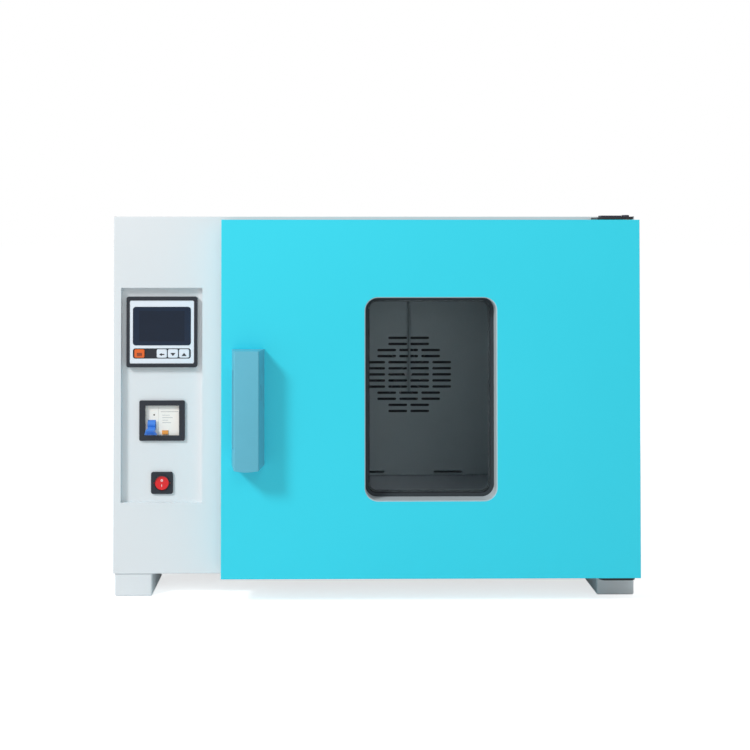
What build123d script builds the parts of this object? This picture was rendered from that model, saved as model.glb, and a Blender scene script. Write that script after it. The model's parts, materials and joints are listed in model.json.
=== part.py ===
from build123d import *

import os
from math import cos, radians, sin, sqrt

# Bench-top forced-air drying oven. Millimetres, +Z up, the front faces -Y.
# The origin is in the middle of the overall width and depth, on the surface that the feet stand on.
# Depths, in pairs called d, count back from the front face of the cabinet.

# Cabinet
foot_height = 31.0
control_width = 149.5
motor_room = 49.5
sheet = 1.5
bend_radius = 1.2
front_return = 20.0
seam = 0.3
rear_return = 12.0
base_upstand = 15.0

# Feet
foot_width = 51.0
foot_depth = 92.0
foot_inset = 2.0
foot_wall = 2.5
foot_corner = 2.7
foot_boss_radius = 9.0
foot_screw_radius = 3.0
foot_screw_length = 18.0

# Working chamber
chamber_width = 420.0
chamber_height = 350.0
chamber_depth = 350.0
right_insulation = 70.0
left_insulation = 64.5
top_insulation = 74.5
bottom_insulation = 54.5
plenum_depth = 45.0
liner_sheet = 1.0
liner_flange = 16.0
throat_lap = 10.0
throat_width = 22.0
throat_thick = 4.0
rear_insulation = 48.0
partition_sheet = 1.0

# Air baffle
baffle_sheet = 1.0
baffle_return = 14.0
baffle_play = 1.5
slot_length = 31.6
slot_height = 4.2
slot_pitch_x = 36.9
slot_pitch_z = 10.2
slots_from_middle = (4, 4, 4, 3, 3, 2, 2)
return_slot_length = 48.0
return_slot_height = 3.6
return_slot_offset = 65.0
return_slot_rise = 5.0
post_radius = 5.0
post_inset = 22.0
stud_thread = 11.0

# Fan, motor and heater
fan_drop = 5.5
fan_radius = 74.0
fan_depth = 26.0
fan_hub_radius = 11.0
fan_disc = 1.6
fan_blades = 12
fan_blade_thick = 1.6
fan_blade_sweep = 38.0
fan_blade_curve = 59.2
fan_root_gap = 12.0
fan_tip_inset = 1.0
fan_hub_length = 18.2
fan_inlet_radius = 46.0
fan_gap = 9.0
shaft_radius = 4.0
running_fit = 0.05
shaft_grip = 22.0
shaft_end_play = 1.0
shaft_nut_radius = 6.8
shaft_nut = 5.0
motor_radius = 43.0
motor_length = 52.0
motor_boss_radius = 13.0
motor_boss_length = 6.0
motor_flange = 3.0
motor_bolt_circle = 50.0
motor_pocket = 8.0
motor_ear = 7.0
motor_ear_corner = 8.0
motor_rim = 4.0
bracket_sheet = 2.0
bracket_width = 130.0
bracket_height = 112.0
bracket_foot = 14.0
heater_radius = 4.2
heater_ring_inner = 88.0
heater_ring_outer = 103.0
heater_back_gap = 14.0
heater_lead_angle = 8.0
heater_lead_length = 40.0

# Exhaust at the back
vent_offset = 135.0
vent_rise = 128.0
vent_radius = 20.0
vent_wall = 1.5
vent_neck_radius = 22.0
vent_neck_play = 2.0
vent_seat_length = 18.0
vent_flange_radius = 29.0
vent_flange = 2.0
damper_depth = 8.0
damper_gap = 0.6
damper_sheet = 1.2
spindle_radius = 2.0
knob_radius = 6.0
knob_height = 6.0
knob_gap = 0.3
knob_pointer = 3.0

# Rear covers and cable gland
cover_width = 190.0
cover_height = 170.0
cover_reach = 34.0
cover_lip = 10.0
louvre_length = 46.0
louvre_height = 4.0
louvre_pitch = 13.0
louvre_hood = 3.2
louvre_skin = 1.0
louvre_rows = 7
cover_vent_rows = 6
cover_vent_pitch = 26.0
cover_vent_length = 64.4
gland_inset = 55.0
gland_rise = 51.0
gland_bore = 4.5
gland_radius = 10.0
gland_nut_radius = 13.0
gland_reach = 24.0
gland_collar = 5.0
gland_nut = 4.0
gland_dome_radius = 11.5
gland_rim = 4.0
gland_inside = 12.0

# Shelf rails, shelf and temperature sensor
rail_post_radius = 3.0
rung_radius = 2.5
rung_pitch = 40.0
rung_headroom = 30.0
rung_first = 38.0
rail_front = 40.0
rail_rear_gap = 56.5
rung_overhang = 14.0
rung_weld = 0.5
shelf_frame_radius = 2.5
shelf_wire_radius = 1.5
shelf_wire_pitch = 24.0
shelf_play = 0.7
shelf_front = 16.0
shelf_rear_gap = 35.5
shelf_gap = 0.2
sensor_radius = 2.0
sensor_length = 206.0
sensor_gap = 12.0
sensor_collar_radius = 6.0

# Door
door_gap = 8.0
door_thick = 36.0
door_sheet = 1.2
door_edge_radius = 1.0
inner_panel_sheet = 1.0
inner_panel_play = 0.2
window_width = 176.0
window_height = 270.0
window_corner = 18.0
window_rise = -0.4
window_depth = 27.0
window_wall = 1.2
seal_width = 4.7
seal_thick = 2.0
glass_thick = 3.0
glass_spacer = 2.0
glass_lip = 8.0
glass_play = 0.4
gasket_width = 12.0
gasket_squeeze = 0.3
gasket_inset = 14.0

# Handle
handle_width = 32.5
handle_base = 43.0
handle_length = 156.0
handle_reach = 32.0
handle_inset = 35.7
handle_drop = 12.0
handle_bulge = 3.5
handle_edge = 2.0
handle_flare = 1.0
handle_shoulder = 24.0
pocket_length = 104.0
pocket_width = 17.0
pocket_depth = 21.0
pocket_floor = 4.0
notch_length = 21.0
notch_width = 3.0
notch_depth = 2.0
notch_rise = 23.0
notch_forward = 19.2
notch_flank = 5.0
handle_screw_radius = 2.5
handle_screw_span = 126.0
handle_screw_length = 22.0
handle_screw_play = 1.0
handle_screw_head_radius = 4.5
handle_screw_head = 3.0

# Hinges
pivot_inset = 16.0
pivot_forward = 24.0
hinge_leaf = 2.7
hinge_gap = 0.5
hinge_length = 48.0
hinge_tail = 10.0
hinge_leg = 30.0
pin_radius = 4.0
pin_head_radius = 5.0
pin_head = 3.3
pin_length = 18.0
bush_radius = 6.5
bush_flange_radius = 9.0
bush_flange = 0.3
bush_length = 16.0
hinge_screw_span = 28.0

# Magnetic catches
magnet_width = 12.0
magnet_height = 44.0
magnet_thick = 5.0
magnet_rise = 150.0
magnet_inset = 14.0
strike_gap = 0.3

# Recessed control panel
recess_width = 110.3
recess_height = 291.3
recess_left = 10.2
recess_drop = 97.0
recess_depth = 8.0
recess_sheet = 1.2
recess_flange = 5.0

# Temperature controller, a standard 96 x 96 panel instrument
controller_size = 96.0
controller_cutout = 92.4
controller_body_size = 90.0
controller_body_length = 72.0
controller_body_corner = 2.0
controller_drop = 60.1
controller_rim = 7.0
controller_corner = 3.0
face_width = 87.2
face_height = 85.4
face_thick = 1.0
face_sink = 0.6
face_play = 0.2
display_width = 78.8
display_height = 52.4
display_rise = 8.0
display_corner = 4.0
display_proud = 0.3
keybar_height = 14.0
keybar_drop = 29.2
keybar_corner = 3.5
key_width = 13.7
key_height = 11.4
key_corner = 2.0
key_pitch = 15.15
key_proud = 0.7
key_travel = 0.6
key_play = 0.25
key_flange = 0.8
key_lip = 0.8
key_side_lip = 0.6
key_edge = 0.4
key_seat = 0.2
keypad_thick = 2.0

# Circuit breaker behind its window
breaker_drop = 181.0
breaker_bezel_width = 61.8
breaker_bezel_height = 54.6
breaker_bezel_thick = 3.0
breaker_bezel_corner = 2.0
breaker_opening_width = 46.3
breaker_opening_height = 40.9
breaker_collar = 1.5
pole_width = 17.9
leakage_width = 35.8
module_gap = 0.2
nose_height = 45.0
nose_depth = 17.0
module_height = 80.0
module_depth = 44.0
module_face = 9.6
lever_width = 10.6
lever_reach = 17.0
lever_barrel = 6.5
lever_tab = 4.0
lever_edge = 1.6
lever_sink = 2.5
lever_drop = 6.0
lever_angle = 45.0
lever_play = 0.3
button_width = 8.4
button_height = 5.4
button_proud = 1.2
button_travel = 1.0
button_length = 8.0
button_x = 4.8
button_bottom = 1.0
button_edge = 0.5
button_play = 0.2
rail_height = 35.0
rail_depth = 7.5
rail_sheet = 1.0
rail_lip = 5.0
rail_clip = 1.0
rail_play = 0.2

# Rocker switch
rocker_rise = 25.6
rocker_bezel = 29.7
rocker_bezel_thick = 2.5
rocker_bezel_corner = 3.0
rocker_ring_radius = 10.75
rocker_ring_rise = 2.0
rocker_ring_edge = 0.5
rocker_radius = 9.5
rocker_play = 0.3
rocker_face = 3.0
rocker_back = 4.5
rocker_dish_radius = 95.0
rocker_rim = 0.4
rocker_tilt = 8.0
rocker_body = 25.0
rocker_body_length = 26.0
rocker_well = 12.0
rocker_pivot_radius = 1.5
rocker_pivot_length = 1.6

# Electrical parts in the control compartment
relay_width = 26.0
relay_height = 60.0
relay_length = 45.0
relay_rise = 67.0
relay_d = 150.0
relay_slot = 8.0
relay_slot_length = 31.5
relay_slot_rise = 22.8
relay_corner = 3.0
terminal_width = 22.0
terminal_height = 30.0
terminal_length = 90.0
terminal_d = 300.0
terminal_poles = 6
terminal_rise = 40.0
terminal_rim = 4.0

# Fasteners
screw_radius = 2.0
screw_head_radius = 4.0
screw_head = 2.4

# Depths from front to back, and the overall box that they give
liner_front = sheet + throat_thick
chamber_mouth = liner_front + liner_sheet
baffle_d = chamber_mouth + chamber_depth
plenum_end = baffle_d + plenum_depth
rail_rear = baffle_d - rail_rear_gap
shelf_depth = baffle_d - shelf_rear_gap - shelf_front
liner_back = plenum_end + liner_sheet
insulation_back = liner_back + rear_insulation
body_depth = insulation_back + motor_room
rear_inner = body_depth - sheet
door_front = -(door_gap + door_thick)
overall_depth = handle_reach - door_front + body_depth + cover_reach
front_y = -overall_depth / 2 + handle_reach - door_front

# Widths from left to right
liner_width = chamber_width + 2 * liner_sheet
body_width = 2 * sheet + control_width + partition_sheet + left_insulation + liner_width + right_insulation
half_width = body_width / 2
inner_half = half_width - sheet
chamber_right = inner_half - right_insulation - liner_sheet
chamber_left = chamber_right - chamber_width
chamber_x = (chamber_left + chamber_right) / 2
partition_x = chamber_left - liner_sheet - left_insulation

# Heights from the bench up
inner_bottom = foot_height + sheet
chamber_bottom = inner_bottom + bottom_insulation + liner_sheet
chamber_top = chamber_bottom + chamber_height
chamber_z = (chamber_bottom + chamber_top) / 2
inner_top = chamber_top + liner_sheet + top_insulation
body_top = inner_top + sheet
body_height = body_top - foot_height
fan_z = chamber_z - fan_drop

# The door leaves room for a hinge leaf at its top and bottom, and covers the chamber evenly
door_margin = sheet + seam + hinge_leaf + hinge_gap
door_right = half_width - door_margin
door_left = chamber_left - (door_right - chamber_right)
door_width = door_right - door_left
door_x = (door_left + door_right) / 2
door_bottom = foot_height + door_margin
door_top = body_top - door_margin
door_height = door_top - door_bottom
door_z = (door_bottom + door_top) / 2
window_z = door_z + window_rise
handle_x = door_left + handle_inset
handle_z = door_z - handle_drop
pivot_x = door_right - pivot_inset
pivot_d = -door_gap - pivot_forward

recess_x = -half_width + recess_left + recess_width / 2
recess_top = body_top - recess_drop
recess_bottom = recess_top - recess_height
recess_z = (recess_bottom + recess_top) / 2
recess_back = recess_depth + recess_sheet
controller_z = recess_top - controller_drop
breaker_z = recess_top - breaker_drop
rocker_z = recess_bottom + rocker_rise
pole_left = recess_x - breaker_opening_width / 2 - module_gap
pole_x = pole_left + pole_width / 2
leakage_left = pole_left + pole_width + module_gap
gland_x = -half_width + gland_inset
gland_z = foot_height + gland_rise
relay_z = chamber_z + relay_rise


# Helpers

def y_at(depth):
    return front_y + depth


def block(x, d, z):
    centre = Pos((x[0] + x[1]) / 2, y_at((d[0] + d[1]) / 2), (z[0] + z[1]) / 2)
    return centre * Box(x[1] - x[0], d[1] - d[0], z[1] - z[0])


def about(middle, size):
    return (middle - size / 2, middle + size / 2)


def plate(sketch, d):
    plane = Plane((0, y_at(d[1]), 0), x_dir=(1, 0, 0), z_dir=(0, -1, 0))
    return extrude(plane * sketch, d[1] - d[0])


def rounded(x, z, width, height, radius):
    return Pos(x, z) * RectangleRounded(width, height, radius)


def rod_x(d, z, radius, x):
    centre = Pos((x[0] + x[1]) / 2, y_at(d), z)
    return centre * Rot(0, 90, 0) * Cylinder(radius, x[1] - x[0])


def rod_y(x, z, radius, d):
    centre = Pos(x, y_at((d[0] + d[1]) / 2), z)
    return centre * Rot(90, 0, 0) * Cylinder(radius, d[1] - d[0])


def rod_z(x, d, radius, z):
    return Pos(x, y_at(d), (z[0] + z[1]) / 2) * Cylinder(radius, z[1] - z[0])


def group(pieces):
    return Compound(children=list(pieces))


# Cabinet shell

def front_panel():
    outline = Pos(0, (foot_height + body_top) / 2) * Rectangle(body_width, body_height)
    hollow = Pos(0, (foot_height + body_top) / 2) * Rectangle(body_width - 2 * sheet, body_height - 2 * sheet)
    panel = plate(outline, (0, front_return))
    panel = fillet(panel.faces().sort_by(Axis.Y)[0].edges(), bend_radius)
    panel -= plate(hollow, (sheet, front_return))
    opening = Pos(chamber_x, chamber_z) * Rectangle(chamber_width + 2 * throat_lap,
                                                    chamber_height + 2 * throat_lap)
    panel -= plate(opening, (0, sheet))
    panel -= block(about(recess_x, recess_width), (0, sheet), about(recess_z, recess_height))
    for leaf in (top_leaf(), bottom_leaf()):
        panel -= block(hinge_span(seam), (0, sheet), (leaf[0] - seam, leaf[1] + seam))
    for x, z in hinge_screw_places():
        panel -= rod_y(x, z, screw_radius + running_fit, (0, sheet))
    return panel


def outer_wrap():
    d = (front_return + seam, body_depth)
    wrap = block((-half_width, half_width), d, (foot_height, body_top))
    wrap = fillet(wrap.edges().filter_by(Axis.Y).group_by(Axis.Z)[-1], bend_radius)
    return wrap - block((-inner_half, inner_half), d, (foot_height, inner_top))


def base_pan():
    x = (-inner_half, inner_half)
    d = (front_return + seam, body_depth)
    pan = block(x, d, (foot_height, inner_bottom + base_upstand))
    hollow = (x[0] + sheet, x[1] - sheet)
    pan -= block(hollow, (d[0], rear_inner - rear_return), (inner_bottom, inner_bottom + base_upstand))
    pan -= block(x, (rear_inner - rear_return, d[1]), (inner_bottom, inner_bottom + base_upstand))
    for x_foot, d_foot in foot_places():
        pan -= rod_z(x_foot, d_foot, foot_screw_radius + running_fit, (foot_height, inner_bottom))
    return pan


def rear_panel():
    x = (-inner_half, inner_half)
    z = (inner_bottom, inner_top)
    panel = block(x, (rear_inner - rear_return, body_depth), z)
    inside = (x[0] + sheet, x[1] - sheet)
    panel -= block(inside, (rear_inner - rear_return, rear_inner), (z[0], z[1] - sheet))
    panel -= block(about(chamber_x, bracket_width), (rear_inner, body_depth), about(fan_z, bracket_height))
    panel -= rod_y(vent_x(), vent_z(), vent_neck_radius + running_fit, (rear_inner, body_depth))
    panel -= rod_y(gland_x, gland_z, gland_radius + running_fit, (rear_inner, body_depth))
    for x, z in panel_screw_places() + cover_screw_places():
        panel -= rod_y(x, z, screw_radius, (rear_inner, body_depth))
    for x_louvre, z_louvre in louvre_places():
        panel += louvre_hood_solid(x_louvre, z_louvre)
        panel -= louvre_air_gap(x_louvre, z_louvre)
    return panel


def louvre_places():
    middle = (-inner_half + partition_x) / 2
    rows = [fan_z + (row - (louvre_rows - 1) / 2) * louvre_pitch for row in range(louvre_rows)]
    columns = (middle - louvre_length * 0.6, middle + louvre_length * 0.6)
    return [(x, z) for x in columns for z in rows]


def louvre_profile(hood, height):
    start = (0, height)
    tip = (hood, 0)
    return make_face(Line((0, 0), tip) + RadiusArc(tip, start, (hood ** 2 + height ** 2) / (2 * hood)) +
                     Line(start, (0, 0)))


def louvre_solid(x, z, hood, height, length, depth):
    plane = Plane((x - length / 2, y_at(depth), z), x_dir=(0, 1, 0), z_dir=(1, 0, 0))
    return extrude(plane * louvre_profile(hood, height), length)


def louvre_hood_solid(x, z):
    return louvre_solid(x, z, louvre_hood, louvre_height + sheet, louvre_length, body_depth)


def louvre_air_gap(x, z):
    length = louvre_length - 2 * sheet
    scoop = louvre_solid(x, z, louvre_hood - louvre_skin, louvre_height, length, body_depth)
    return scoop + block(about(x, length), (rear_inner, body_depth), (z, z + louvre_height))


def partition_panel():
    x = (partition_x - partition_sheet, partition_x)
    panel = block(x, (front_return + seam, rear_inner - rear_return), (inner_bottom, inner_top))
    flange = (partition_x - rear_return, partition_x)
    panel += block(flange, (front_return + seam, rear_inner - rear_return),
                   (inner_bottom, inner_bottom + partition_sheet))
    panel += block(flange, (front_return + seam, rear_inner - rear_return),
                   (inner_top - partition_sheet, inner_top))
    return panel


# Feet

def foot_places():
    x = half_width - foot_inset - foot_width / 2
    front = foot_inset + foot_depth / 2
    rear = body_depth - foot_inset - foot_depth / 2
    return [(-x, front), (x, front), (-x, rear), (x, rear)]


def foot(x, d):
    cup = Pos(x, y_at(d), foot_height / 2) * Box(foot_width, foot_depth, foot_height)
    cup = fillet(cup.edges().filter_by(Axis.Z) + cup.faces().sort_by(Axis.Z)[0].edges(), foot_corner)
    hollow = Pos(x, y_at(d), (foot_height + foot_wall) / 2)
    cup -= hollow * Box(foot_width - 2 * foot_wall, foot_depth - 2 * foot_wall, foot_height - foot_wall)
    cup += rod_z(x, d, foot_boss_radius, (foot_wall, foot_height))
    hole_bottom = foot_height - foot_screw_length
    return cup - rod_z(x, d, foot_screw_radius, (hole_bottom, foot_height))


def screw(x, d, radius, span, head_radius, head_height):
    """A vertical screw whose head sits on top of span."""
    shank = rod_z(x, d, radius, span)
    return shank + rod_z(x, d, head_radius, (span[1], span[1] + head_height))


def feet():
    return group(foot(x, d) for x, d in foot_places())


def foot_screws():
    span = (foot_height - foot_screw_length, inner_bottom)
    head = foot_screw_radius * 2
    return group(screw(x, d, foot_screw_radius, span, head, foot_screw_radius) for x, d in foot_places())


# Chamber

def throat_frame():
    outer = Pos(chamber_x, chamber_z) * Rectangle(chamber_width + 2 * throat_width,
                                                  chamber_height + 2 * throat_width)
    inner = Pos(chamber_x, chamber_z) * Rectangle(chamber_width, chamber_height)
    return plate(outer - inner, (sheet, liner_front))


def chamber_liner():
    x = (chamber_left, chamber_right)
    z = (chamber_bottom, chamber_top)
    wall = liner_sheet
    liner = block((x[0] - wall, x[1] + wall), (liner_front, liner_back), (z[0] - wall, z[1] + wall))
    liner += block((x[0] - liner_flange, x[1] + liner_flange), (liner_front, chamber_mouth),
                   (z[0] - liner_flange, z[1] + liner_flange))
    liner -= block(x, (liner_front, plenum_end), z)
    liner += baffle_studs()
    back = (plenum_end, liner_back)
    liner -= rod_y(chamber_x, fan_z, shaft_radius * 1.6, back)
    liner -= rod_y(vent_x(), vent_z(), vent_neck_radius, back)
    for x_lead, z_lead in heater_lead_places():
        liner -= rod_y(x_lead, z_lead, heater_radius + running_fit, back)
    return liner - rod_z(chamber_x, sensor_d(), sensor_radius, (z[1], z[1] + wall))


def chamber_insulation():
    wall = liner_sheet
    wool = block((partition_x, inner_half), (front_return + seam, insulation_back), (inner_bottom, inner_top))
    wool -= block((inner_half - sheet, inner_half), (front_return + seam, insulation_back),
                  (inner_bottom, inner_bottom + base_upstand))
    wool -= block((partition_x, inner_half), (front_return + seam, insulation_back),
                  (inner_bottom, inner_bottom + 3 * foot_screw_radius))
    wool -= block((chamber_left - wall, chamber_right + wall), (liner_front, liner_back),
                  (chamber_bottom - wall, chamber_top + wall))
    back = (liner_back, insulation_back)
    wool -= rod_y(chamber_x, fan_z, shaft_radius * 3, back)
    wool -= rod_y(vent_x(), vent_z(), vent_neck_radius, back)
    wool -= block(about(chamber_x, bracket_width), (motor_front() - motor_pocket, insulation_back),
                  about(fan_z, bracket_height))
    for x_lead, z_lead in heater_lead_places():
        wool -= rod_y(x_lead, z_lead, heater_radius * 2, back)
    return wool - rod_z(chamber_x, sensor_d(), sensor_collar_radius, (chamber_top + wall, inner_top))


def baffle_size():
    return chamber_width - 2 * baffle_play, chamber_height - 2 * baffle_play


def baffle_post_places():
    x = chamber_width / 2 - post_inset
    z = chamber_height / 2 - post_inset
    return [(chamber_x + i * x, chamber_z + k * z) for i in (-1, 1) for k in (-1, 1)]


def slot_row(count, z):
    """One row of air slots, centred on the fan."""
    return [Pos(chamber_x + (i - (count - 1) / 2) * slot_pitch_x, z) * SlotOverall(slot_length, slot_height)
            for i in range(count)]


def air_baffle():
    width, height = baffle_size()
    d = (baffle_d, baffle_d + baffle_return)
    baffle = block(about(chamber_x, width), d, about(chamber_z, height))
    baffle -= block(about(chamber_x, width - 2 * baffle_sheet), (d[0] + baffle_sheet, d[1]),
                    about(chamber_z, height - 2 * baffle_sheet))
    slots = []
    for row, count in enumerate(slots_from_middle):
        for z in {fan_z + row * slot_pitch_z, fan_z - row * slot_pitch_z}:
            slots += slot_row(count, z)
    foot_z = chamber_bottom + return_slot_rise + return_slot_height / 2
    for side in (-1, 1):
        slots.append(Pos(chamber_x + side * return_slot_offset, foot_z) *
                     SlotOverall(return_slot_length, return_slot_height))
    slots += [Pos(x, z) * Circle(screw_radius) for x, z in baffle_post_places()]
    return baffle - [plate(slot, (d[0], d[0] + baffle_sheet)) for slot in slots]


def baffle_studs():
    """Drilled studs on the liner's back wall, as far as the baffle."""
    front = baffle_d + baffle_sheet
    studs = Part() + [rod_y(x, z, post_radius, (front, plenum_end)) for x, z in baffle_post_places()]
    return studs - [rod_y(x, z, screw_radius, (front, front + stud_thread)) for x, z in baffle_post_places()]


def front_screw(x, z, d):
    """A screw along Y whose head stands in front of d."""
    return rod_y(x, z, screw_radius, d) + rod_y(x, z, screw_head_radius, (d[0] - screw_head, d[0]))


def rear_screw(x, z, d):
    """A screw along Y whose head stands behind d."""
    return rod_y(x, z, screw_radius, d) + rod_y(x, z, screw_head_radius, (d[1], d[1] + screw_head))


def baffle_screws():
    d = (baffle_d, baffle_d + baffle_sheet + stud_thread)
    return [front_screw(x, z, d) for x, z in baffle_post_places()]


def rung_heights():
    steps = int((chamber_height - rung_first - rung_headroom) // rung_pitch)
    return [chamber_bottom + rung_first + i * rung_pitch for i in range(steps + 1)]


def shelf_rail(side):
    """Ladder of rods on one chamber wall. side is -1 for the left wall, 1 for the right one."""
    wall_x = chamber_left if side < 0 else chamber_right
    post_x = wall_x - side * rail_post_radius
    rung_x = post_x - side * (rail_post_radius + rung_radius - rung_weld)
    rail = Part() + [rod_z(post_x, d, rail_post_radius, (chamber_bottom, chamber_top))
                     for d in (rail_front, rail_rear)]
    span = (rail_front - rung_overhang, rail_rear + rung_overhang)
    return rail + [rod_y(rung_x, z, rung_radius, span) for z in rung_heights()]


def rail_reach():
    return 2 * rail_post_radius + 2 * rung_radius - rung_weld


def wire_shelf():
    """Wire grid that rests on the top pair of rungs."""
    half = chamber_width / 2 - 2 * rail_post_radius - shelf_play - shelf_frame_radius
    z = rung_heights()[-1] + rung_radius + shelf_gap + shelf_frame_radius
    front = shelf_front + shelf_frame_radius
    rear = front + shelf_depth - 2 * shelf_frame_radius
    corners = [(chamber_x - half, front), (chamber_x + half, front),
               (chamber_x + half, rear), (chamber_x - half, rear)]
    shelf = Part() + [Pos(x, y_at(d), z) * Sphere(shelf_frame_radius) for x, d in corners]
    for d in (front, rear):
        shelf += rod_x(d, z, shelf_frame_radius, (chamber_x - half, chamber_x + half))
    for x in (chamber_x - half, chamber_x + half):
        shelf += rod_y(x, z, shelf_frame_radius, (front, rear))
    count = int(2 * half // shelf_wire_pitch)
    step = 2 * half / (count + 1)
    wires = [rod_y(chamber_x - half + (i + 1) * step, z, shelf_wire_radius, (front, rear)) for i in range(count)]
    return shelf + wires


def sensor_d():
    return baffle_d - sensor_gap


def temperature_sensor():
    top = chamber_top + liner_sheet + rear_insulation / 2
    sensor = rod_z(chamber_x, sensor_d(), sensor_radius, (chamber_top - sensor_length, top))
    tip = Pos(chamber_x, y_at(sensor_d()), chamber_top - sensor_length) * Sphere(sensor_radius)
    collar = rod_z(chamber_x, sensor_d(), sensor_collar_radius, (chamber_top - liner_sheet, chamber_top))
    return sensor + tip + collar


# Fan, motor and heater

def fan_back():
    return plenum_end - fan_gap


def fan_blade(angle):
    """One swept blade: an arc from the hub to the rim, thickened and as deep as the fan."""
    root = fan_hub_radius + fan_root_gap
    tip = fan_radius - fan_tip_inset
    sweep = radians(fan_blade_sweep)
    start = Vector(root, 0)
    end = Vector(tip * cos(sweep), tip * sin(sweep))
    line = RadiusArc(start, end, -fan_blade_curve)
    outline = trace(line, fan_blade_thick)
    return Rot(0, 0, angle) * outline


def fan_impeller():
    """Back disc, swept blades and a front ring, centred on the shaft."""
    plane = Plane((chamber_x, y_at(fan_back()), fan_z), x_dir=(1, 0, 0), z_dir=(0, -1, 0))
    impeller = extrude(plane * Circle(fan_radius), fan_disc)
    blades = [fan_blade(360 * i / fan_blades) for i in range(fan_blades)]
    impeller += [extrude(plane * blade, fan_depth - fan_disc) for blade in blades]
    ring = Circle(fan_radius) - Circle(fan_inlet_radius)
    front_plane = plane.offset(fan_depth - fan_disc)
    impeller += extrude(front_plane * ring, fan_disc)
    impeller += extrude(plane * Circle(fan_hub_radius), fan_hub_length)
    return impeller - rod_y(chamber_x, fan_z, shaft_radius, (fan_back() - fan_depth, fan_back()))


def motor_plate_front():
    return insulation_back - bracket_sheet


def motor_front():
    return motor_plate_front() + bracket_sheet


def fan_shaft():
    span = (fan_back() - fan_hub_length, motor_front() + shaft_grip)
    shaft = rod_y(chamber_x, fan_z, shaft_radius, span)
    nut = plate(Pos(chamber_x, fan_z) * RegularPolygon(shaft_nut_radius, 6), (span[0] - shaft_nut, span[0]))
    return shaft + nut


def motor_bolt_places():
    reach = motor_bolt_circle / sqrt(2)
    return [(chamber_x + i * reach, fan_z + k * reach) for i in (-1, 1) for k in (-1, 1)]


def fan_motor():
    front = motor_front()
    motor = rod_y(chamber_x, fan_z, motor_radius, (front + motor_flange, front + motor_length))
    motor = fillet(motor.edges(), motor_rim)
    motor += rod_y(chamber_x, fan_z, motor_boss_radius, (front - motor_boss_length, front + motor_flange))
    side = motor_bolt_circle * sqrt(2) + 2 * motor_ear
    motor += plate(rounded(chamber_x, fan_z, side, side, motor_ear_corner), (front, front + motor_flange))
    for x, z in motor_bolt_places():
        motor -= rod_y(x, z, screw_radius, (front, front + motor_flange))
    bore = (front - motor_boss_length, front + shaft_grip + shaft_end_play)
    return motor - rod_y(chamber_x, fan_z, shaft_radius + running_fit, bore)


def motor_bracket():
    """Hat section between the motor and the rear panel."""
    front = motor_plate_front()
    half = bracket_width / 2
    outer = block((chamber_x - half, chamber_x + half), (front, rear_inner), about(fan_z, bracket_height))
    inner = block((chamber_x - half + bracket_sheet, chamber_x + half - bracket_sheet),
                  (front + bracket_sheet, rear_inner), about(fan_z, bracket_height))
    bracket = outer - inner
    for side in (-1, 1):
        edge = chamber_x + side * half
        x = sorted((edge, edge + side * bracket_foot))
        bracket += block(x, (rear_inner - bracket_sheet, rear_inner), about(fan_z, bracket_height))
    bracket -= rod_y(chamber_x, fan_z, motor_boss_radius, (front, front + bracket_sheet))
    for x, z in motor_bolt_places():
        bracket -= rod_y(x, z, screw_radius, (front, front + bracket_sheet))
    return bracket


def motor_screws():
    front = motor_plate_front()
    return [front_screw(x, z, (front, front + bracket_sheet + motor_flange)) for x, z in motor_bolt_places()]


def heater_d():
    return plenum_end - heater_back_gap


def heater_lead_places():
    """Ends of both rings, below the fan, as X and Z."""
    places = []
    for radius in (heater_ring_inner, heater_ring_outer):
        for side in (-1, 1):
            angle = radians(-90 + side * heater_lead_angle)
            places.append((chamber_x + radius * cos(angle), fan_z + radius * sin(angle)))
    return places


def heater_ring(radius):
    """An open ring of tube round the fan, with both ends turned back through the liner."""
    plane = Plane((chamber_x, y_at(heater_d()), fan_z), x_dir=(1, 0, 0), z_dir=(0, -1, 0))
    arc = plane * CenterArc((0, 0), radius, -90 + heater_lead_angle, 360 - 2 * heater_lead_angle)
    section = Plane(arc @ 0, z_dir=arc % 0) * Circle(heater_radius)
    return sweep(section, path=arc)


def heater_element():
    heater = Part() + [heater_ring(radius) for radius in (heater_ring_inner, heater_ring_outer)]
    leads = (heater_d(), liner_back + heater_lead_length)
    for x, z in heater_lead_places():
        heater += Pos(x, y_at(heater_d()), z) * Sphere(heater_radius)
        heater += rod_y(x, z, heater_radius, leads)
    return heater


# Exhaust

def vent_x():
    return chamber_x + vent_offset


def vent_z():
    return fan_z + vent_rise


def damper_d():
    return body_depth + damper_depth


def vent_shoulder():
    """Depth at which a hose pushed onto the exhaust meets the neck."""
    return damper_d() + knob_radius + vent_neck_play


def vent_end():
    return vent_shoulder() + vent_seat_length


def vent_collar():
    """Tube with a neck that holds the damper, a flange behind the rear panel and a seat for a hose."""
    tube = rod_y(vent_x(), vent_z(), vent_neck_radius, (plenum_end, vent_shoulder()))
    tube += rod_y(vent_x(), vent_z(), vent_radius, (vent_shoulder(), vent_end()))
    tube += rod_y(vent_x(), vent_z(), vent_flange_radius, (rear_inner - vent_flange, rear_inner))
    tube -= rod_y(vent_x(), vent_z(), vent_radius - vent_wall, (plenum_end, vent_end()))
    z = (vent_z() - vent_neck_radius, vent_z() + vent_neck_radius)
    return tube - rod_z(vent_x(), damper_d(), spindle_radius + running_fit, z)


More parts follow.
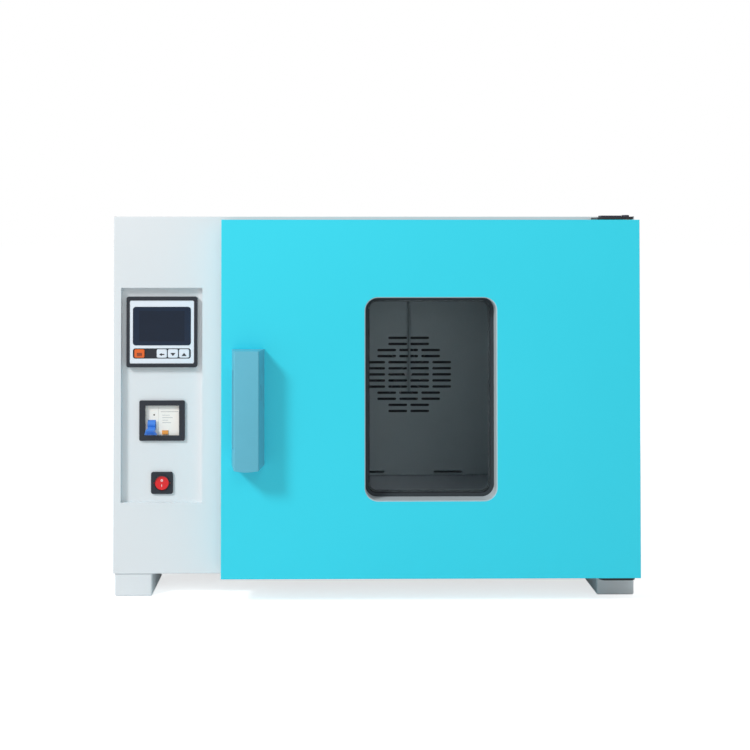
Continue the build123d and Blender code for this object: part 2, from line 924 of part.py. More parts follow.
def vent_damper():
    """Butterfly disc on an upright spindle, with a knob above the collar."""
    disc = rod_y(vent_x(), vent_z(), vent_radius - vent_wall - damper_gap,
                 about(damper_d(), damper_sheet))
    top = vent_z() + vent_neck_radius + knob_gap
    spindle = rod_z(vent_x(), damper_d(), spindle_radius, (vent_z() - vent_neck_radius - spindle_radius, top))
    knob = rod_z(vent_x(), damper_d(), knob_radius, (top, top + knob_height))
    pointer = block(about(vent_x(), 2 * knob_radius), about(damper_d(), spindle_radius),
                    (top + knob_height, top + knob_height + knob_pointer))
    return disc + spindle + knob + pointer


# Rear cover, gland and rear screws

def cover_screw_places():
    x = cover_width / 2 + cover_lip / 2
    z = cover_height / 2 - cover_lip
    return [(chamber_x + i * x, fan_z + k * z) for i in (-1, 1) for k in (-1, 1)]


def motor_cover():
    """Box over the motor, open at the front, with air slots and a lip at each side."""
    d = (body_depth, body_depth + cover_reach)
    cover = block(about(chamber_x, cover_width), d, about(fan_z, cover_height))
    cover = fillet(cover.faces().sort_by(Axis.Y)[-1].edges(), 3 * bend_radius)
    cover -= block(about(chamber_x, cover_width - 2 * sheet), (d[0], d[1] - sheet),
                   about(fan_z, cover_height - 2 * sheet))
    for side in (-1, 1):
        edge = chamber_x + side * cover_width / 2
        cover += block(sorted((edge, edge + side * cover_lip)), (d[0], d[0] + sheet),
                       about(fan_z, cover_height))
    slots = []
    for row in range(cover_vent_rows):
        z = fan_z + (row - (cover_vent_rows - 1) / 2) * cover_vent_pitch
        for side in (-1, 1):
            slots.append(Pos(chamber_x + side * cover_width / 4, z) * SlotOverall(cover_vent_length, louvre_height))
    cover -= [plate(slot, (d[1] - sheet, d[1])) for slot in slots]
    for x, z in cover_screw_places():
        cover -= rod_y(x, z, screw_radius, (d[0], d[0] + sheet))
    return cover


def panel_screw_places():
    x = inner_half - rear_return
    heights = (inner_bottom + 3 * rear_return, chamber_z, inner_top - rear_return)
    return [(i * x, z) for i in (-1, 1) for z in heights]


def rear_screws():
    screws = [rear_screw(x, z, (body_depth, body_depth + sheet)) for x, z in cover_screw_places()]
    return screws + [rear_screw(x, z, (rear_inner - sheet, body_depth)) for x, z in panel_screw_places()]


def cable_gland():
    """Screwed gland through the rear panel, with a domed nut outside and a flat nut inside."""
    outside = body_depth + gland_reach
    hexagon = Pos(gland_x, gland_z) * RegularPolygon(gland_nut_radius, 6)
    gland = plate(hexagon, (body_depth, body_depth + gland_collar))
    gland += plate(hexagon, (rear_inner - gland_nut, rear_inner))
    gland += rod_y(gland_x, gland_z, gland_radius, (rear_inner - gland_inside, body_depth + gland_collar))
    dome = rod_y(gland_x, gland_z, gland_dome_radius, (body_depth + gland_collar, outside))
    gland += fillet(dome.faces().sort_by(Axis.Y)[-1].edges(), gland_rim)
    return gland - rod_y(gland_x, gland_z, gland_bore, (rear_inner - gland_inside, outside))


# Hinges

def top_leaf():
    return door_top + hinge_gap, door_top + hinge_gap + hinge_leaf


def bottom_leaf():
    return door_bottom - hinge_gap - hinge_leaf, door_bottom - hinge_gap


def hinge_span(play=0.0):
    right = pivot_x + hinge_tail
    return right - hinge_length - play, right + play


def hinge_screw_places():
    middle = sum(hinge_span()) / 2
    heights = (top_leaf()[0] - hinge_leg / 2, bottom_leaf()[1] + hinge_leg / 2)
    return [(middle + side * hinge_screw_span / 2, z) for z in heights for side in (-1, 1)]


def hinge_bracket(leaf, upright):
    """Leaf through the front panel to the pivot, and a leg behind the panel."""
    x = hinge_span()
    tip = pivot_d - hinge_tail
    plan = block(x, (tip, sheet + hinge_leaf), leaf)
    plan = fillet(plan.edges().filter_by(Axis.Z).group_by(Axis.Y)[0], 0.8 * hinge_tail)
    leg = block(x, (sheet, sheet + hinge_leaf), upright)
    bracket = plan + leg - rod_z(pivot_x, pivot_d, pin_radius, leaf)
    for x_screw, z_screw in hinge_screw_places():
        bracket -= rod_y(x_screw, z_screw, screw_radius, (sheet, sheet + hinge_leaf))
    return bracket


def hinge_bracket_top():
    leaf = top_leaf()
    return hinge_bracket(leaf, (leaf[0] - hinge_leg, leaf[1]))


def hinge_bracket_bottom():
    leaf = bottom_leaf()
    return hinge_bracket(leaf, (leaf[0], leaf[1] + hinge_leg))


def hinge_pins():
    """Headed pin through the top leaf, and a plain one that stands in the bottom leaf."""
    top = top_leaf()
    head = rod_z(pivot_x, pivot_d, pin_head_radius, (top[1], top[1] + pin_head))
    head = fillet(head.faces().sort_by(Axis.Z)[-1].edges(), pin_head / 3)
    upper = head + rod_z(pivot_x, pivot_d, pin_radius, (top[0] - pin_length, top[1]))
    bottom = bottom_leaf()
    return group([upper, rod_z(pivot_x, pivot_d, pin_radius, (bottom[0], bottom[1] + pin_length))])


def hinge_bush(edge, inward):
    """Flanged bush in the door's edge. inward is 1 for the bottom edge, -1 for the top one."""
    body = sorted((edge, edge + inward * bush_length))
    flange = sorted((edge, edge - inward * bush_flange))
    bush = rod_z(pivot_x, pivot_d, bush_radius, body) + rod_z(pivot_x, pivot_d, bush_flange_radius, flange)
    return bush - rod_z(pivot_x, pivot_d, pin_radius + running_fit, (min(body + flange), max(body + flange)))


def hinge_bushes():
    return group([hinge_bush(door_top, -1), hinge_bush(door_bottom, 1)])


def hinge_screws():
    return [rear_screw(x, z, (0, sheet + hinge_leaf)) for x, z in hinge_screw_places()]


def cabinet_screws():
    return group(baffle_screws() + motor_screws() + rear_screws() + hinge_screws())


# Door

def door_cavity():
    return door_front + door_sheet, -door_gap - inner_panel_sheet


def window_outline(inset):
    return rounded(door_x, window_z, window_width - 2 * inset, window_height - 2 * inset, window_corner - inset)


def door_skin():
    outline = Pos(door_x, door_z) * Rectangle(door_width, door_height)
    hollow = Pos(door_x, door_z) * Rectangle(door_width - 2 * door_sheet, door_height - 2 * door_sheet)
    skin = plate(outline, (door_front, -door_gap))
    skin = fillet(skin.faces().sort_by(Axis.Y)[0].edges(), door_edge_radius)
    skin -= plate(hollow, (door_front + door_sheet, -door_gap))
    skin -= plate(window_outline(0), (door_front, door_front + door_sheet))
    for z in ((door_bottom, door_bottom + door_sheet), (door_top - door_sheet, door_top)):
        skin -= rod_z(pivot_x, pivot_d, bush_radius, z)
    for z in handle_screw_heights():
        skin -= rod_y(handle_x, z, handle_screw_radius, (door_front, door_front + door_sheet))
    return skin


def door_inner_panel():
    width = door_width - 2 * (door_sheet + inner_panel_play)
    height = door_height - 2 * (door_sheet + inner_panel_play)
    panel = Pos(door_x, door_z) * Rectangle(width, height) - window_outline(glass_lip)
    return plate(panel, (-door_gap - inner_panel_sheet, -door_gap))


def door_insulation():
    cavity = door_cavity()
    wool = plate(Pos(door_x, door_z) * Rectangle(door_width - 2 * door_sheet, door_height - 2 * door_sheet) -
                 window_outline(0), cavity)
    for edge, inward in ((door_bottom, 1), (door_top, -1)):
        span = sorted((edge, edge + inward * (bush_length + pin_length)))
        wool -= rod_z(pivot_x, pivot_d, bush_radius, span)
    for z in handle_screw_heights():
        wool -= rod_y(handle_x, z, 2 * handle_screw_radius, cavity)
    return wool


def window_frame():
    """Bright lining of the window opening, from the skin back to the inner panel."""
    outline = window_outline(0) - window_outline(window_wall)
    return plate(outline, (door_front + door_sheet, -door_gap - inner_panel_sheet))


def glass_seals():
    """Dark ring in front of the outer pane, and a second one between the panes."""
    front = door_front + window_depth
    between = front + glass_thick
    outline = window_outline(window_wall) - window_outline(window_wall + seal_width)
    return group([plate(outline, (front - seal_thick, front)), plate(outline, (between, between + glass_spacer))])


def pane(front):
    return plate(window_outline(window_wall + glass_play), (front, front + glass_thick))


def outer_glass():
    return pane(door_front + window_depth)


def inner_glass():
    return pane(door_front + window_depth + glass_thick + glass_spacer)


def door_gasket():
    """Silicone ring on the inner panel, round the chamber mouth."""
    width = chamber_width + 2 * (gasket_inset + gasket_width)
    height = chamber_height + 2 * (gasket_inset + gasket_width)
    outer = rounded(chamber_x, chamber_z, width, height, gasket_inset + gasket_width)
    inner = rounded(chamber_x, chamber_z, width - 2 * gasket_width, height - 2 * gasket_width, gasket_inset)
    ring = plate(outer - inner, (-door_gap, -gasket_squeeze))
    back_edges = ring.faces().sort_by(Axis.Y)[-1].edges()
    return fillet(back_edges, gasket_width / 4)


# Handle

def handle_screw_heights():
    return [handle_z - handle_screw_span / 2, handle_z + handle_screw_span / 2]


def handle_section():
    """Plan of the grip: wide at the door and flared in to the front face."""
    base = handle_base / 2
    front = handle_width / 2
    points = [(-base, 0), (base, 0), (front + handle_flare, handle_shoulder), (front, handle_reach)]
    points += [(-front, handle_reach), (-front - handle_flare, handle_shoulder)]
    return make_face(Polyline(points, close=True))


def handle_outline():
    """Front view of the grip: a level top and a bottom that bulges down."""
    half = handle_base / 2
    top = handle_z + handle_length / 2
    bottom = handle_z - handle_length / 2 + handle_bulge
    left = (handle_x - half, bottom)
    right = (handle_x + half, bottom)
    arc = ThreePointArc(left, (handle_x, bottom - handle_bulge), right)
    sides = Polyline(right, (handle_x + half, top), (handle_x - half, top), left)
    return make_face(arc + sides)


def door_handle():
    plane = Plane((handle_x, y_at(door_front), handle_z - handle_length / 2), x_dir=(1, 0, 0), z_dir=(0, 0, 1))
    flipped = mirror(handle_section(), Plane.XZ)
    grip = extrude(plane * flipped, handle_length)
    grip &= plate(handle_outline(), (door_front - handle_reach, door_front))
    front_edges = grip.faces().sort_by(Axis.Y)[0].edges().filter_by(Axis.Z)
    grip = fillet(front_edges, handle_edge)
    left = handle_x - handle_base / 2
    floor = door_front - pocket_floor
    scoop = block((left - 1, left + pocket_width), (floor - pocket_depth, floor), about(handle_z, pocket_length))
    scoop = fillet(scoop.edges().filter_by(Axis.Y).group_by(Axis.X)[-1], pocket_width / 3)
    grip -= scoop
    right = handle_x + handle_base / 2
    grip -= block((right - notch_depth - notch_flank, right), about(door_front - notch_forward, notch_width),
                  about(handle_z + notch_rise, notch_length))
    for z in handle_screw_heights():
        grip -= rod_y(handle_x, z, handle_screw_radius, (door_front - handle_screw_length, door_front))
    return grip


def handle_screws():
    pieces = []
    back = door_front + door_sheet
    for z in handle_screw_heights():
        tip = door_front - handle_screw_length + handle_screw_play
        shank = rod_y(handle_x, z, handle_screw_radius, (tip, back))
        head = rod_y(handle_x, z, handle_screw_head_radius, (back, back + handle_screw_head))
        pieces.append(shank + head)
    return group(pieces)


# Magnetic catches

def magnet_places():
    x = door_left + magnet_inset
    return [(x, door_z + side * magnet_rise) for side in (-1, 1)]


def door_magnets():
    return group(block(about(x, magnet_width), (-magnet_thick, 0), about(z, magnet_height))
                 for x, z in magnet_places())


def strike_plates():
    return group(block(about(x, magnet_width), (-door_gap, -magnet_thick - strike_gap), about(z, magnet_height))
                 for x, z in magnet_places())


# Control panel

def control_panel():
    """Shallow tray behind the front panel, with the instrument cut-outs in its floor."""
    outer_x = about(recess_x, recess_width + 2 * recess_sheet)
    outer_z = about(recess_z, recess_height + 2 * recess_sheet)
    tray = block(outer_x, (sheet, recess_back), outer_z)
    tray += block((outer_x[0] - recess_flange, outer_x[1] + recess_flange), (sheet, sheet + recess_sheet),
                  (outer_z[0] - recess_flange, outer_z[1] + recess_flange))
    tray -= block(about(recess_x, recess_width), (sheet, recess_depth), about(recess_z, recess_height))
    floor = (recess_depth, recess_back)
    tray -= block(about(recess_x, controller_cutout), floor, about(controller_z, controller_cutout))
    collar_width = breaker_opening_width + 2 * breaker_collar
    collar_height = breaker_opening_height + 2 * breaker_collar
    tray -= block(about(recess_x, collar_width), floor, about(breaker_z, collar_height))
    return tray - block(about(recess_x, rocker_body), floor, about(rocker_z, rocker_body))


# Temperature controller

def key_columns():
    """X of the set key, which stands apart, and of the three grouped keys."""
    return [recess_x + step * key_pitch for step in (-2, 0, 1, 2)]


def key_z():
    return controller_z - keybar_drop


def face_front():
    return recess_depth - controller_rim + face_sink


def controller_bezel():
    front = recess_depth - controller_rim
    tray = face_front() + face_thick
    bezel = plate(rounded(recess_x, controller_z, controller_size, controller_size, controller_corner),
                  (front, recess_depth))
    bezel -= plate(rounded(recess_x, controller_z, face_width + 2 * face_play, face_height + 2 * face_play, 2),
                   (front, tray))
    bezel -= block(about(recess_x, face_width), (tray + keypad_thick, recess_depth),
                   about(controller_z, face_height))
    for x in key_columns():
        bezel -= plate(rounded(x, key_z(), key_width + 2 * key_play, key_height + 2 * key_play, key_corner),
                       (tray, tray + keypad_thick))
    return bezel


def controller_face():
    outline = rounded(recess_x, controller_z, face_width, face_height, 2)
    outline -= rounded(recess_x, controller_z + display_rise, display_width, display_height, display_corner)
    outline -= rounded(recess_x, key_z(), display_width, keybar_height, keybar_corner)
    return plate(outline, (face_front(), face_front() + face_thick))


def display_window():
    outline = rounded(recess_x, controller_z + display_rise, display_width - 2 * running_fit,
                      display_height - 2 * running_fit, display_corner - running_fit)
    return plate(outline, (face_front() - display_proud, face_front() + face_thick))


def controller_key(x):
    """Key cap in its hole, with a flange behind the keypad that keeps it in."""
    seat = face_front() + face_thick + keypad_thick + key_seat
    cap = plate(rounded(x, key_z(), key_width, key_height, key_corner), (face_front() - key_proud, seat))
    cap = fillet(cap.faces().sort_by(Axis.Y)[0].edges(), key_edge)
    flange = block(about(x, key_width + key_side_lip), (seat, seat + key_flange),
                   about(key_z(), key_height + 2 * key_lip))
    return cap + flange


def controller_body():
    body = block(about(recess_x, controller_body_size), (recess_depth, recess_depth + controller_body_length),
                 about(controller_z, controller_body_size))
    return fillet(body.edges().filter_by(Axis.Y), controller_body_corner)


# Circuit breaker

def breaker_bezel():
    front = recess_depth - breaker_bezel_thick
    outline = rounded(recess_x, breaker_z, breaker_bezel_width, breaker_bezel_height, breaker_bezel_corner)
    bezel = plate(outline, (front, recess_depth))
    collar_width = breaker_opening_width + 2 * breaker_collar
    collar_height = breaker_opening_height + 2 * breaker_collar
    bezel += block(about(recess_x, collar_width), (recess_depth, recess_back), about(breaker_z, collar_height))
    return bezel - block(about(recess_x, breaker_opening_width), (front, recess_back),
                         about(breaker_z, breaker_opening_height))


def module_profile():
    """Side view of a rail-mounted module: depth across, height up, with the rail groove behind."""
    nose = nose_height / 2
    half = module_height / 2
    shoulder = module_face + nose_depth
    back = shoulder + module_depth
    groove = rail_height / 2 + rail_play
    groove_front = back - rail_depth
    points = [(module_face, -nose), (module_face, nose), (shoulder, nose), (shoulder, half), (back, half),
              (back, groove), (groove_front, groove), (groove_front, -groove), (back, -groove), (back, -half),
              (shoulder, -half), (shoulder, -nose)]
    return make_face(Polyline(points, close=True))


def module(left, width):
    plane = Plane((left, front_y, breaker_z), x_dir=(0, 1, 0), z_dir=(1, 0, 0))
    return extrude(plane * module_profile(), width)


def lever_pivot():
    """Depth and height of the lever's axis."""
    return module_face + lever_sink, breaker_z - lever_drop


def breaker_body():
    d, z = lever_pivot()
    well = rod_x(d, z, lever_barrel + lever_play, about(pole_x, lever_width + 2 * lever_play))
    return module(pole_left, pole_width) - well


def breaker_lever():
    """Barrel with a tab, resting in its lower position."""
    d, z = lever_pivot()
    barrel = rod_x(d, z, lever_barrel, about(pole_x, lever_width))
    tab = Box(lever_width, lever_reach, lever_tab)
    tab = fillet(tab.edges().filter_by(Axis.X).group_by(Axis.Y)[0], lever_edge)
    tab = Pos(0, -lever_reach / 2, 0) * tab
    return barrel + Pos(pole_x, y_at(d), z) * Rot(lever_angle, 0, 0) * tab


def button_place():
    x = leakage_left + button_x + button_width / 2
    z = breaker_z - breaker_opening_height / 2 + button_bottom + button_height / 2
    return x, z


def leakage_module():
    x, z = button_place()
    bore = (module_face, module_face + button_length + button_travel)
    body = module(leakage_left, leakage_width)
    return body - block(about(x, button_width + 2 * button_play), bore, about(z, button_height + 2 * button_play))


def test_button():
    x, z = button_place()
    button = block(about(x, button_width), (module_face - button_proud, module_face + button_length),
                   about(z, button_height))
    return fillet(button.faces().sort_by(Axis.Y)[0].edges(), button_edge)


def din_rail():
    """Top-hat rail from the partition, across behind the modules."""
    back = module_face + nose_depth + module_depth
    inner = rail_height / 2 - rail_lip
    rail = Part()
    x = (pole_left, partition_x - partition_sheet)
    for side in (-1, 1):
        lip = sorted((breaker_z + side * inner, breaker_z + side * rail_height / 2))
        rail += block(x, (back - rail_depth, back - rail_depth + rail_sheet), lip)
        web = sorted((breaker_z + side * inner, breaker_z + side * (inner - rail_sheet)))
        rail += block(x, (back - rail_depth, back), web)
    rail += block(x, (back - rail_sheet, back), (breaker_z - inner, breaker_z + inner))
    return rail


# Rocker switch

def rocker_d():
    """Depth of the rocker's axis."""
    return recess_depth - rocker_bezel_thick - rocker_ring_rise + rocker_face


def rocker_housing():
    front = recess_depth - rocker_bezel_thick
    housing = plate(rounded(recess_x, rocker_z, rocker_bezel, rocker_bezel, rocker_bezel_corner),
                    (front, recess_depth))
    ring = rod_y(recess_x, rocker_z, rocker_ring_radius, (front - rocker_ring_rise, front))
    housing += fillet(ring.faces().sort_by(Axis.Y)[0].edges(), rocker_ring_edge)
    size = rocker_body - 2 * running_fit
    housing += block(about(recess_x, size), (recess_depth, recess_depth + rocker_body_length),
                     about(rocker_z, size))
    well = (front - rocker_ring_rise, rocker_d() + rocker_well)
    housing -= rod_y(recess_x, rocker_z, rocker_radius + rocker_play, well)
    reach = rocker_radius + rocker_pivot_length + rocker_play
    return housing - rod_x(rocker_d(), rocker_z, rocker_pivot_radius + running_fit, about(recess_x, 2 * reach))


def power_rocker():
    """Ball-sided rocker with a dished front, tilted to its off position."""
    ball = Sphere(rocker_radius)
    slab = Pos(0, (rocker_back - rocker_face) / 2, 0) * Box(4 * rocker_radius, rocker_back + rocker_face,
                                                            4 * rocker_radius)
    body = ball & slab
    dish_radius = rocker_dish_radius
    dish_centre = rocker_face + sqrt(dish_radius ** 2 - rocker_radius ** 2) - rocker_rim
    body -= Pos(0, -dish_centre, 0) * Rot(0, 90, 0) * Cylinder(dish_radius, 4 * rocker_radius)
    pivot_span = 2 * (rocker_radius + rocker_pivot_length)
    body += Rot(0, 90, 0) * Cylinder(rocker_pivot_radius, pivot_span)
    return Pos(recess_x, y_at(rocker_d()), rocker_z) * Rot(-rocker_tilt, 0, 0) * body


# Electrical parts in the compartment

def solid_state_relay():
    x = (partition_x - partition_sheet - relay_width, partition_x - partition_sheet)
    relay = block(x, about(relay_d, relay_length), about(relay_z, relay_height))
    relay = fillet(relay.edges().filter_by(Axis.X), relay_corner)
    for side in (-1, 1):
        relay -= block((x[0], x[0] + relay_slot), about(relay_d, relay_slot_length),
                       about(relay_z + side * relay_slot_rise, relay_slot))
    return relay


def terminal_block():
    x = (partition_x - partition_sheet - terminal_width, partition_x - partition_sheet)
    bottom = inner_bottom + terminal_rise
    z = (bottom, bottom + terminal_height)
    body = block(x, about(terminal_d, terminal_length), z)
    pitch = terminal_length / terminal_poles
    for i in range(terminal_poles):
        d = terminal_d + (i - (terminal_poles - 1) / 2) * pitch
        body -= block((x[0], x[0] + terminal_width * 0.4), about(d, pitch * 0.7),
                      (z[0] + terminal_rim, z[1] - terminal_rim))
    return body


parts = {
    "front_panel": front_panel(),
    "outer_wrap": outer_wrap(),
    "base_pan": base_pan(),
    "rear_panel": rear_panel(),
    "partition_panel": partition_panel(),
    "feet": feet(),
    "foot_screws": foot_screws(),
    "throat_frame": throat_frame(),
    "chamber_liner": chamber_liner(),
    "chamber_insulation": chamber_insulation(),
    "air_baffle": air_baffle(),
    "shelf_rail_left": shelf_rail(-1),
    "shelf_rail_right": shelf_rail(1),
    "wire_shelf": wire_shelf(),
    "temperature_sensor": temperature_sensor(),
    "fan_impeller": fan_impeller(),
    "fan_shaft": fan_shaft(),
    "fan_motor": fan_motor(),
    "motor_bracket": motor_bracket(),
    "heater_element": heater_element(),
    "vent_collar": vent_collar(),
    "vent_damper": vent_damper(),
    "motor_cover": motor_cover(),
    "cabinet_screws": cabinet_screws(),
    "cable_gland": cable_gland(),
    "hinge_bracket_top": hinge_bracket_top(),
    "hinge_bracket_bottom": hinge_bracket_bottom(),
    "hinge_pins": hinge_pins(),
    "hinge_bushes": hinge_bushes(),
    "door_skin": door_skin(),
    "door_inner_panel": door_inner_panel(),
    "door_insulation": door_insulation(),
    "window_frame": window_frame(),
    "glass_seals": glass_seals(),
    "outer_glass": outer_glass(),
    "inner_glass": inner_glass(),
    "door_gasket": door_gasket(),
    "door_handle": door_handle(),
    "handle_screws": handle_screws(),
    "door_magnets": door_magnets(),
    "strike_plates": strike_plates(),
    "control_panel": control_panel(),
    "controller_bezel": controller_bezel(),
    "controller_face": controller_face(),
    "display_window": display_window(),
    "controller_body": controller_body(),
    "breaker_bezel": breaker_bezel(),
    "breaker_body": breaker_body(),
    "breaker_lever": breaker_lever(),
    "leakage_module": leakage_module(),
    "test_button": test_button(),
    "din_rail": din_rail(),
    "rocker_housing": rocker_housing(),
    "power_rocker": power_rocker(),
    "solid_state_relay": solid_state_relay(),
    "terminal_block": terminal_block(),
}
for name, x in zip(("key_set", "key_shift", "key_down", "key_up"), key_columns()):
    parts[name] = controller_key(x)

os.makedirs("parts", exist_ok=True)
for name, shape in parts.items():
    export_step(shape, f"parts/{name}.step")
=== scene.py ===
import json
import logging
import math
from dataclasses import dataclass
from enum import Enum

import bmesh
import bpy
from mathutils import Euler, Matrix, Vector


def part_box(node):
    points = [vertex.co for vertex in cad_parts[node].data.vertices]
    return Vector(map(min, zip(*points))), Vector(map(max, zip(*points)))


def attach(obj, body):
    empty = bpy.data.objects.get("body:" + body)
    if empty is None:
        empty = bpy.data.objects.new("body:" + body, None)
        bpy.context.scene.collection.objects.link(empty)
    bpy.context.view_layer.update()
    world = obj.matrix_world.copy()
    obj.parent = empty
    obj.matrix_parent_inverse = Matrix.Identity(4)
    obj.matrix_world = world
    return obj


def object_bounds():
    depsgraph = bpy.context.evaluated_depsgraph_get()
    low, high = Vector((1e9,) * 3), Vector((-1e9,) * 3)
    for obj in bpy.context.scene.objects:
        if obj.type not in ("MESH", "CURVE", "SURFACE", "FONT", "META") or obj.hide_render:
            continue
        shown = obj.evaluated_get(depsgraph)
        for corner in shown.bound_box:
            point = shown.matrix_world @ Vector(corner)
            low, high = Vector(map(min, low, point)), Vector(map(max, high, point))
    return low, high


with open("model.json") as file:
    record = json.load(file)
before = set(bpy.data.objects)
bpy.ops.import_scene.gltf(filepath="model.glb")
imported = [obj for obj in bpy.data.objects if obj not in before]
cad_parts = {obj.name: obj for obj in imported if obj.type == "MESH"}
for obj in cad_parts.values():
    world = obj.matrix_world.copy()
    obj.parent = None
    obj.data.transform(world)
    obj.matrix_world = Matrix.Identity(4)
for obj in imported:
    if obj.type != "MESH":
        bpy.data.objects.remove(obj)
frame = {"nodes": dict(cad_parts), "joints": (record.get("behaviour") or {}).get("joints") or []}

LOG = logging.getLogger("drying_oven")
MM = 0.001
CAD_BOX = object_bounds()
WELD_M = 0.00001
EVEN_GRAIN = (1.0, 1.0, 1.0)


def linear(code: str) -> tuple[float, float, float, float]:
    """Turn an sRGB hex colour into the linear values that shaders use.

    Args:
        code: Six hex digits, such as "42d5e6".

    Returns:
        Red, green, blue and an alpha of 1.
    """
    parts = [int(code[i:i + 2], 16) / 255 for i in (0, 2, 4)]
    red, green, blue = (c / 12.92 if c <= 0.04045 else ((c + 0.055) / 1.055) ** 2.4 for c in parts)
    return red, green, blue, 1.0


def per_metre(size_mm: float) -> float:
    """Texture scale that gives a pattern whose features are size_mm across."""
    return 1000.0 / size_mm


def add_node(tree: bpy.types.NodeTree, kind: str, settings: dict | None = None,
             links: dict | None = None) -> bpy.types.Node:
    """Add one shader node with its settings and its incoming links.

    Args:
        tree: The node tree that gets the node.
        kind: Blender's type name, such as "ShaderNodeTexNoise".
        settings: Socket values by socket name or number, and node properties by property name.
        links: Sockets of other nodes, by the name or number of this node's input.

    Returns:
        The new node.
    """
    node = tree.nodes.new(kind)
    for key, value in (settings or {}).items():
        if isinstance(key, int) or key in node.inputs:
            node.inputs[key].default_value = value
        else:
            setattr(node, key, value)
    for key, socket in (links or {}).items():
        tree.links.new(socket, node.inputs[key])
    return node


class Finish:
    """A surface finish that builds its material once and hands it out."""

    name: str
    made: dict[str, bpy.types.Material] = {}

    def material(self) -> bpy.types.Material:
        """Build the material on first use.

        Returns:
            The Blender material of this finish.
        """
        if self.name not in Finish.made:
            material = bpy.data.materials.new(self.name)
            material.use_nodes = True
            material.node_tree.nodes.clear()
            shader = self.shader(material.node_tree)
            add_node(material.node_tree, "ShaderNodeOutputMaterial", links={"Surface": shader.outputs[0]})
            Finish.made[self.name] = material
        return Finish.made[self.name]

    def shader(self, tree: bpy.types.NodeTree) -> bpy.types.Node:
        """Make this finish's nodes.

        Args:
            tree: The empty node tree of the material.

        Returns:
            The shader node that goes to the output.
        """
        raise NotImplementedError


def object_position(tree: bpy.types.NodeTree) -> bpy.types.NodeSocket:
    """Give the point on the object in metres, in the object's own frame."""
    return add_node(tree, "ShaderNodeTexCoord").outputs["Object"]


def grain_bump(tree: bpy.types.NodeTree, size_mm: float, height_mm: float, detail: float = 2.0,
               stretch: tuple[float, float, float] = EVEN_GRAIN) -> bpy.types.Node:
    """Make a bump from noise.

    Args:
        tree: The material's node tree.
        size_mm: Distance from crest to crest.
        height_mm: Height of the crests.
        detail: Octaves of finer noise.
        stretch: How much longer the grain is along X, Y and Z.

    Returns:
        The bump node.
    """
    scale = add_node(tree, "ShaderNodeMapping", {"Scale": tuple(1 / s for s in stretch)},
                     {"Vector": object_position(tree)})
    noise = add_node(tree, "ShaderNodeTexNoise", {"Scale": per_metre(size_mm), "Detail": detail},
                     {"Vector": scale.outputs[0]})
    return add_node(tree, "ShaderNodeBump", {"Strength": 1.0, "Distance": height_mm * MM},
                    {"Height": noise.outputs[0]})


def tinted(tree: bpy.types.NodeTree, colour: str, other: str, patch_mm: float) -> bpy.types.NodeSocket:
    """Mix two near colours in soft patches.

    Args:
        tree: The material's node tree.
        colour: The main colour as sRGB hex.
        other: The second colour as sRGB hex.
        patch_mm: Size of the patches.

    Returns:
        The colour socket.
    """
    noise = add_node(tree, "ShaderNodeTexNoise", {"Scale": per_metre(patch_mm), "Detail": 3.0},
                     {"Vector": object_position(tree)})
    mix = add_node(tree, "ShaderNodeMix", {"data_type": "RGBA", 6: linear(colour), 7: linear(other)},
                   {0: noise.outputs[0]})
    return mix.outputs[2]


@dataclass(frozen=True)
class PowderCoat(Finish):
    """Baked polyester powder on sheet steel: an even satin with faint orange peel."""

    name: str
    colour: str
    shade: str
    roughness: float = 0.42
    peel_mm: float = 2.2
    peel_height_mm: float = 0.012
    patch_mm: float = 180.0

    def shader(self, tree: bpy.types.NodeTree) -> bpy.types.Node:
        """Make the satin paint, with patches of a shade too close to name."""
        bump = grain_bump(tree, self.peel_mm, self.peel_height_mm)
        return add_node(tree, "ShaderNodeBsdfPrincipled", {"Roughness": self.roughness, "IOR": 1.5},
                        {"Base Color": tinted(tree, self.colour, self.shade, self.patch_mm),
                         "Normal": bump.outputs[0]})


@dataclass(frozen=True)
class BrushedSteel(Finish):
    """Cold-rolled stainless sheet with a rolling grain along one axis."""

    name: str
    colour: str = "b4b9bb"
    shade: str = "a4aaad"
    roughness: float = 0.34
    polish: float = 0.06
    scuff: float = 0.1
    # Real grain is about 0.1 mm, finer than a pixel, so it is drawn coarser.
    grain_mm: float = 0.9
    grain_length: tuple[float, float, float] = (24.0, 1.0, 1.0)
    grain_height_mm: float = 0.006
    streak_ratio: float = 3.0
    patch_mm: float = 60.0

    def shader(self, tree: bpy.types.NodeTree) -> bpy.types.Node:
        """Make the metal with long scratches in its bump and its roughness."""
        bump = grain_bump(tree, self.grain_mm, self.grain_height_mm, 3.0, self.grain_length)
        scale = add_node(tree, "ShaderNodeMapping", {"Scale": tuple(1 / s for s in self.grain_length)},
                         {"Vector": object_position(tree)})
        streak_scale = per_metre(self.grain_mm * self.streak_ratio)
        streak = add_node(tree, "ShaderNodeTexNoise", {"Scale": streak_scale, "Detail": 4.0},
                          {"Vector": scale.outputs[0]})
        rough = add_node(tree, "ShaderNodeMapRange", {"To Min": self.roughness - self.polish,
                                                      "To Max": self.roughness + self.scuff},
                         {"Value": streak.outputs[0]})
        return add_node(tree, "ShaderNodeBsdfPrincipled", {"Metallic": 1.0},
                        {"Base Color": tinted(tree, self.colour, self.shade, self.patch_mm),
                         "Roughness": rough.outputs[0], "Normal": bump.outputs[0]})


